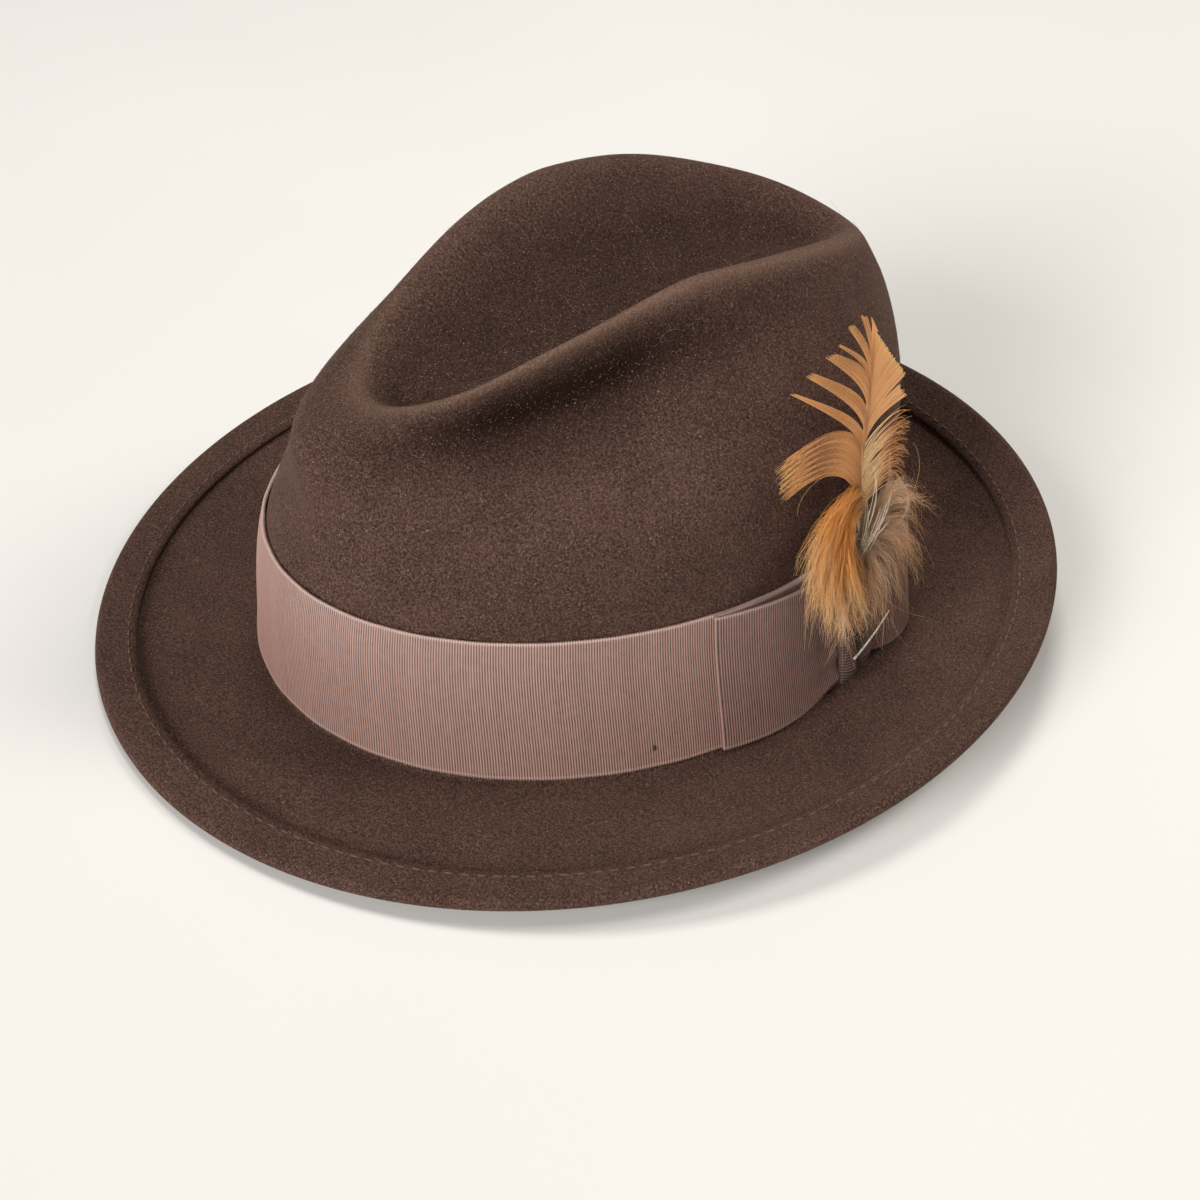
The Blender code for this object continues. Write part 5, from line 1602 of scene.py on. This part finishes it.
def studio_world(settings):
    """Light from all round, with a pale horizon where the camera or a reflection sees it."""
    world = bpy.data.worlds.new("studio_air")
    world.use_nodes = True
    air = world.node_tree
    sky = air.nodes["Background"]
    sky.inputs["Color"].default_value = (*settings.air_color, 1)
    sky.inputs["Strength"].default_value = settings.air_strength
    horizon = add_node(air, "ShaderNodeBackground",
                       {"Color": (*settings.floor_color, 1), "Strength": FAR_GLOW})
    both = add_node(air, "ShaderNodeMixShader",
                    {0: background_rays(air), 1: sky.outputs[0], 2: horizon.outputs[0]})
    air.links.new(both.outputs[0], air.nodes["World Output"].inputs["Surface"])
    return world


def make_stage(settings):
    """The floor, the lights, the world and the photograph's camera."""
    scene = bpy.context.scene
    scene.view_settings.view_transform = "Standard"
    half = settings.floor_size / 2
    mesh = bpy.data.meshes.new("studio_floor")
    corners = [(x * half, y * half, -FLOOR_DEPTH) for x, y in ((-1, -1), (1, -1), (1, 1), (-1, 1))]
    mesh.from_pydata(corners, [], [(0, 1, 2, 3)])
    new_object("studio_floor", mesh, floor_surface(settings.floor_color))
    scene.world = studio_world(settings)
    add_lamp(settings.top_power, *TOP_LAMP)
    add_lamp(settings.front_power, *FRONT_LAMP)
    add_lamp(settings.side_power, *SIDE_LAMP)
    camera = bpy.data.objects.new("photo_camera", bpy.data.cameras.new("photo_camera"))
    camera.data.lens = CAMERA_LENS
    camera.data.clip_start = CAMERA_NEAREST
    right, upward, back = camera_axes()
    axes = np.stack([right, upward, back], axis=-1)
    place = CAMERA_TARGET + back * CAMERA_DISTANCE
    camera.matrix_world = Matrix.Translation(place) @ Matrix(axes.tolist()).to_4x4()
    scene.collection.objects.link(camera)
    scene.camera = camera


def color_property(name, description, default):
    """A colour that a user can change."""
    return bpy.props.FloatVectorProperty(name=name, description=description, default=default, size=3,
                                         min=0, max=1, subtype="COLOR")


def length_property(name, description, default):
    """A length that a user can change."""
    return bpy.props.FloatProperty(name=name, description=description, default=default, min=0,
                                   precision=5, subtype="DISTANCE", unit="LENGTH")


def power_property(name, description, default):
    """A lamp's power that a user can change."""
    return bpy.props.FloatProperty(name=name, description=description, default=default, min=0, unit="POWER")


class FedoraFelt(bpy.types.PropertyGroup):
    """Colours and nap of the felt"""
    felt_color: color_property("Felt", "Main colour of the felt", (0.062, 0.0335, 0.0255))
    fleck_color: color_property("Flecks", "Colour of the pale fibres in the felt", (0.26, 0.19, 0.15))
    # Painted highlight with wear: colour of the felt along the top of the ridge
    worn_and_lit_color: color_property("Worn felt", "Colour of the felt rubbed along the ridge", (0.19, 0.115, 0.083))
    sheen_color: color_property("Sheen", "Colour of the soft sheen at grazing angles", (0.50, 0.31, 0.22))
    nap_density: bpy.props.FloatProperty(name="Nap density", description="Fibres on a square metre",
                                         default=80000, min=0)
    nap_length: length_property("Nap length", "Length of the loose fibres", 0.0010)
    nap_radius: length_property("Nap radius", "Radius of the loose fibres", 0.000025)


class FedoraRibbon(bpy.types.PropertyGroup):
    """Colours and weave of the ribbon"""
    ribbon_color: color_property("Ribbon", "Main colour of the ribbon", (0.235, 0.137, 0.115))
    edge_color: color_property("Woven edge", "Colour of the ribbon's woven edges", (0.52, 0.37, 0.32))
    rib_pitch: length_property("Rib pitch", "Distance from rib to rib", 0.00075)
    rib_depth: length_property("Rib depth", "Height of the ribs", 0.00026)
    knot_rib_pitch: length_property("Knot rib pitch", "Distance from rib to rib on the knot", 0.0010)
    knot_rib_depth: length_property("Knot rib depth", "Height of the ribs on the knot", 0.00042)
    edge_width: length_property("Edge width", "Width of the woven edges", 0.0009)
    warp_pitch: length_property("Warp pitch", "Distance between the fine threads across the ribs", 0.0004)
    loop_share: bpy.props.FloatProperty(name="Edge loops", default=1.8, min=0,
                                        description="Size of the edge's loops in rib heights")


class FedoraThread(bpy.types.PropertyGroup):
    """Colour and size of the stitches"""
    thread_color: color_property("Thread", "Colour of the sewing thread", (0.115, 0.060, 0.038))
    stitch_pitch: length_property("Stitch pitch", "Distance from stitch to stitch", 0.0044)
    stitch_length: length_property("Stitch length", "Length of each stitch", 0.0026)
    stitch_radius: length_property("Stitch radius", "Radius of each stitch", 0.0003)


class FedoraInside(bpy.types.PropertyGroup):
    """Colours of the inside"""
    leather_color: color_property("Leather", "Colour of the sweatband", (0.25, 0.12, 0.06))
    satin_color: color_property("Satin", "Colour of the lining", (0.13, 0.08, 0.06))
    reed_color: color_property("Reed", "Colour of the sweatband's reed", (0.30, 0.25, 0.20))


class FedoraFeathers(bpy.types.PropertyGroup):
    """Colours and sizes of the feathers"""
    tan_color: color_property("Tan barbs", "Colour of the tall and curled vanes", (0.95, 0.43, 0.14))
    pale_color: color_property("Pale barbs", "Colour of the pale barbs", (0.95, 0.64, 0.34))
    orange_color: color_property("Hackle", "Colour of the fluffy hackle", (1.0, 0.43, 0.07))
    tip_color: color_property("Hackle tips", "Colour of the hackle's tips", (1.0, 0.62, 0.29))
    white_color: color_property("Streaks", "Colour of the whitish streaks by the quill", (0.95, 0.86, 0.72))
    grey_color: color_property("Down", "Colour of the grey down", (0.62, 0.40, 0.27))
    quill_color: color_property("Quill", "Colour of the quills", (0.62, 0.56, 0.48))
    binding_color: color_property("Binding", "Colour of the thread that ties the quills", (0.10, 0.05, 0.03))
    barb_radius: length_property("Barb radius", "Radius of a loose barb at its root", 0.00018)
    hackle_radius: length_property("Hackle radius", "Radius of a strand of hackle at its root", 0.00007)
    down_radius: length_property("Down radius", "Radius of a strand of down at its root", 0.00005)


class FedoraStage(bpy.types.PropertyGroup):
    """Floor and light"""
    floor_color: color_property("Floor", "Colour of the floor", (0.84, 0.83, 0.81))
    floor_size: length_property("Floor size", "Length of the floor's sides", 14.0)
    air_color: color_property("Air", "Colour of the light all round", (1.0, 0.985, 0.96))
    air_strength: bpy.props.FloatProperty(name="Air strength", description="Strength of the light all round",
                                          default=0.10, min=0)
    top_power: power_property("Top power", "Power of the small light above", 8.0)
    side_power: power_property("Side power", "Power of the light behind the feathers", 19.0)
    front_power: power_property("Front power", "Power of the main light, in front", 190.0)


class FEDORA_OT_felt(bpy.types.Operator):
    """Make the felt crown and brim with their nap"""
    bl_idname = "fedora.felt"
    bl_label = "Felt Body"

    def execute(self, context):
        make_felt(context.scene.fedora_felt)
        return {"FINISHED"}


class FEDORA_OT_ribbon(bpy.types.Operator):
    """Make the ribbon band, the bow and the small seam bow"""
    bl_idname = "fedora.ribbon"
    bl_label = "Ribbon Band and Bow"

    def execute(self, context):
        settings = context.scene.fedora_ribbon
        band = ribbon_surface(settings, "grosgrain", 1.0)
        # Darker copies of the ribbon for the bow and the knot: painted shade
        bow = ribbon_surface(settings, "bow_grosgrain_shaded", BOW_SHADE)
        make_band(band, settings)
        make_bow_wing("front_wing", "bow_front_wing", -1, FRONT_WING_LENGTH, FRONT_WING_LOFT, bow, settings)
        make_bow_wing("rear_wing", "bow_rear_wing", 1, REAR_WING_LENGTH, REAR_WING_LOFT, bow, settings)
        make_knot(ribbon_surface(settings, "knot_grosgrain_shaded", KNOT_SHADE), settings)
        make_small_bow(band, settings)
        return {"FINISHED"}


class FEDORA_OT_stitching(bpy.types.Operator):
    """Make the stitches and tacks"""
    bl_idname = "fedora.stitching"
    bl_label = "Stitching"

    def execute(self, context):
        make_stitching(context.scene.fedora_thread)
        return {"FINISHED"}


class FEDORA_OT_inside(bpy.types.Operator):
    """Make the sweatband, reed, lining and piping"""
    bl_idname = "fedora.inside"
    bl_label = "Sweatband and Lining"

    def execute(self, context):
        make_inside(context.scene.fedora_inside)
        return {"FINISHED"}


class FEDORA_OT_feathers(bpy.types.Operator):
    """Make the feather vanes, the fluffy down and the quills"""
    bl_idname = "fedora.feathers"
    bl_label = "Feather Spray"

    def execute(self, context):
        settings = context.scene.fedora_feathers
        make_quills(settings)
        make_tall_vane(settings)
        make_pale_vane(settings)
        make_fluff(settings)
        return {"FINISHED"}


class FEDORA_OT_stage(bpy.types.Operator):
    """Make the floor, the lights and the camera"""
    bl_idname = "fedora.stage"
    bl_label = "Stage"

    def execute(self, context):
        make_stage(context.scene.fedora_stage)
        return {"FINISHED"}


SETTING_GROUPS = {
    "fedora_felt": FedoraFelt,
    "fedora_ribbon": FedoraRibbon,
    "fedora_thread": FedoraThread,
    "fedora_inside": FedoraInside,
    "fedora_feathers": FedoraFeathers,
    "fedora_stage": FedoraStage,
}
OPERATORS = (FEDORA_OT_felt, FEDORA_OT_ribbon, FEDORA_OT_stitching, FEDORA_OT_inside, FEDORA_OT_feathers,
             FEDORA_OT_stage)


class FEDORA_PT_panel(bpy.types.Panel):
    """Sizes, colours and makers of the hat's pieces"""
    bl_label = "Fedora Hat"
    bl_space_type = "VIEW_3D"
    bl_region_type = "UI"
    bl_category = "Fedora"

    def draw(self, context):
        for operator, label in zip(OPERATORS, SETTING_GROUPS):
            box = self.layout.box()
            group = getattr(context.scene, label)
            for name in group.__annotations__:
                box.prop(group, name)
            box.operator(operator.bl_idname)


CLASSES = (*SETTING_GROUPS.values(), *OPERATORS, FEDORA_PT_panel)


def register():
    """Add the classes to Blender and the settings to its scenes."""
    for kind in CLASSES:
        bpy.utils.register_class(kind)
    for label, group in SETTING_GROUPS.items():
        setattr(bpy.types.Scene, label, bpy.props.PointerProperty(type=group))


def unregister():
    """Take the settings and the classes out again."""
    for label in SETTING_GROUPS:
        delattr(bpy.types.Scene, label)
    for kind in reversed(CLASSES):
        bpy.utils.unregister_class(kind)


def main():
    """Make every piece in order."""
    register()
    bpy.ops.fedora.stage()
    bpy.ops.fedora.felt()
    bpy.ops.fedora.ribbon()
    bpy.ops.fedora.stitching()
    bpy.ops.fedora.inside()
    bpy.ops.fedora.feathers()


if __name__ == "__main__":
    main()
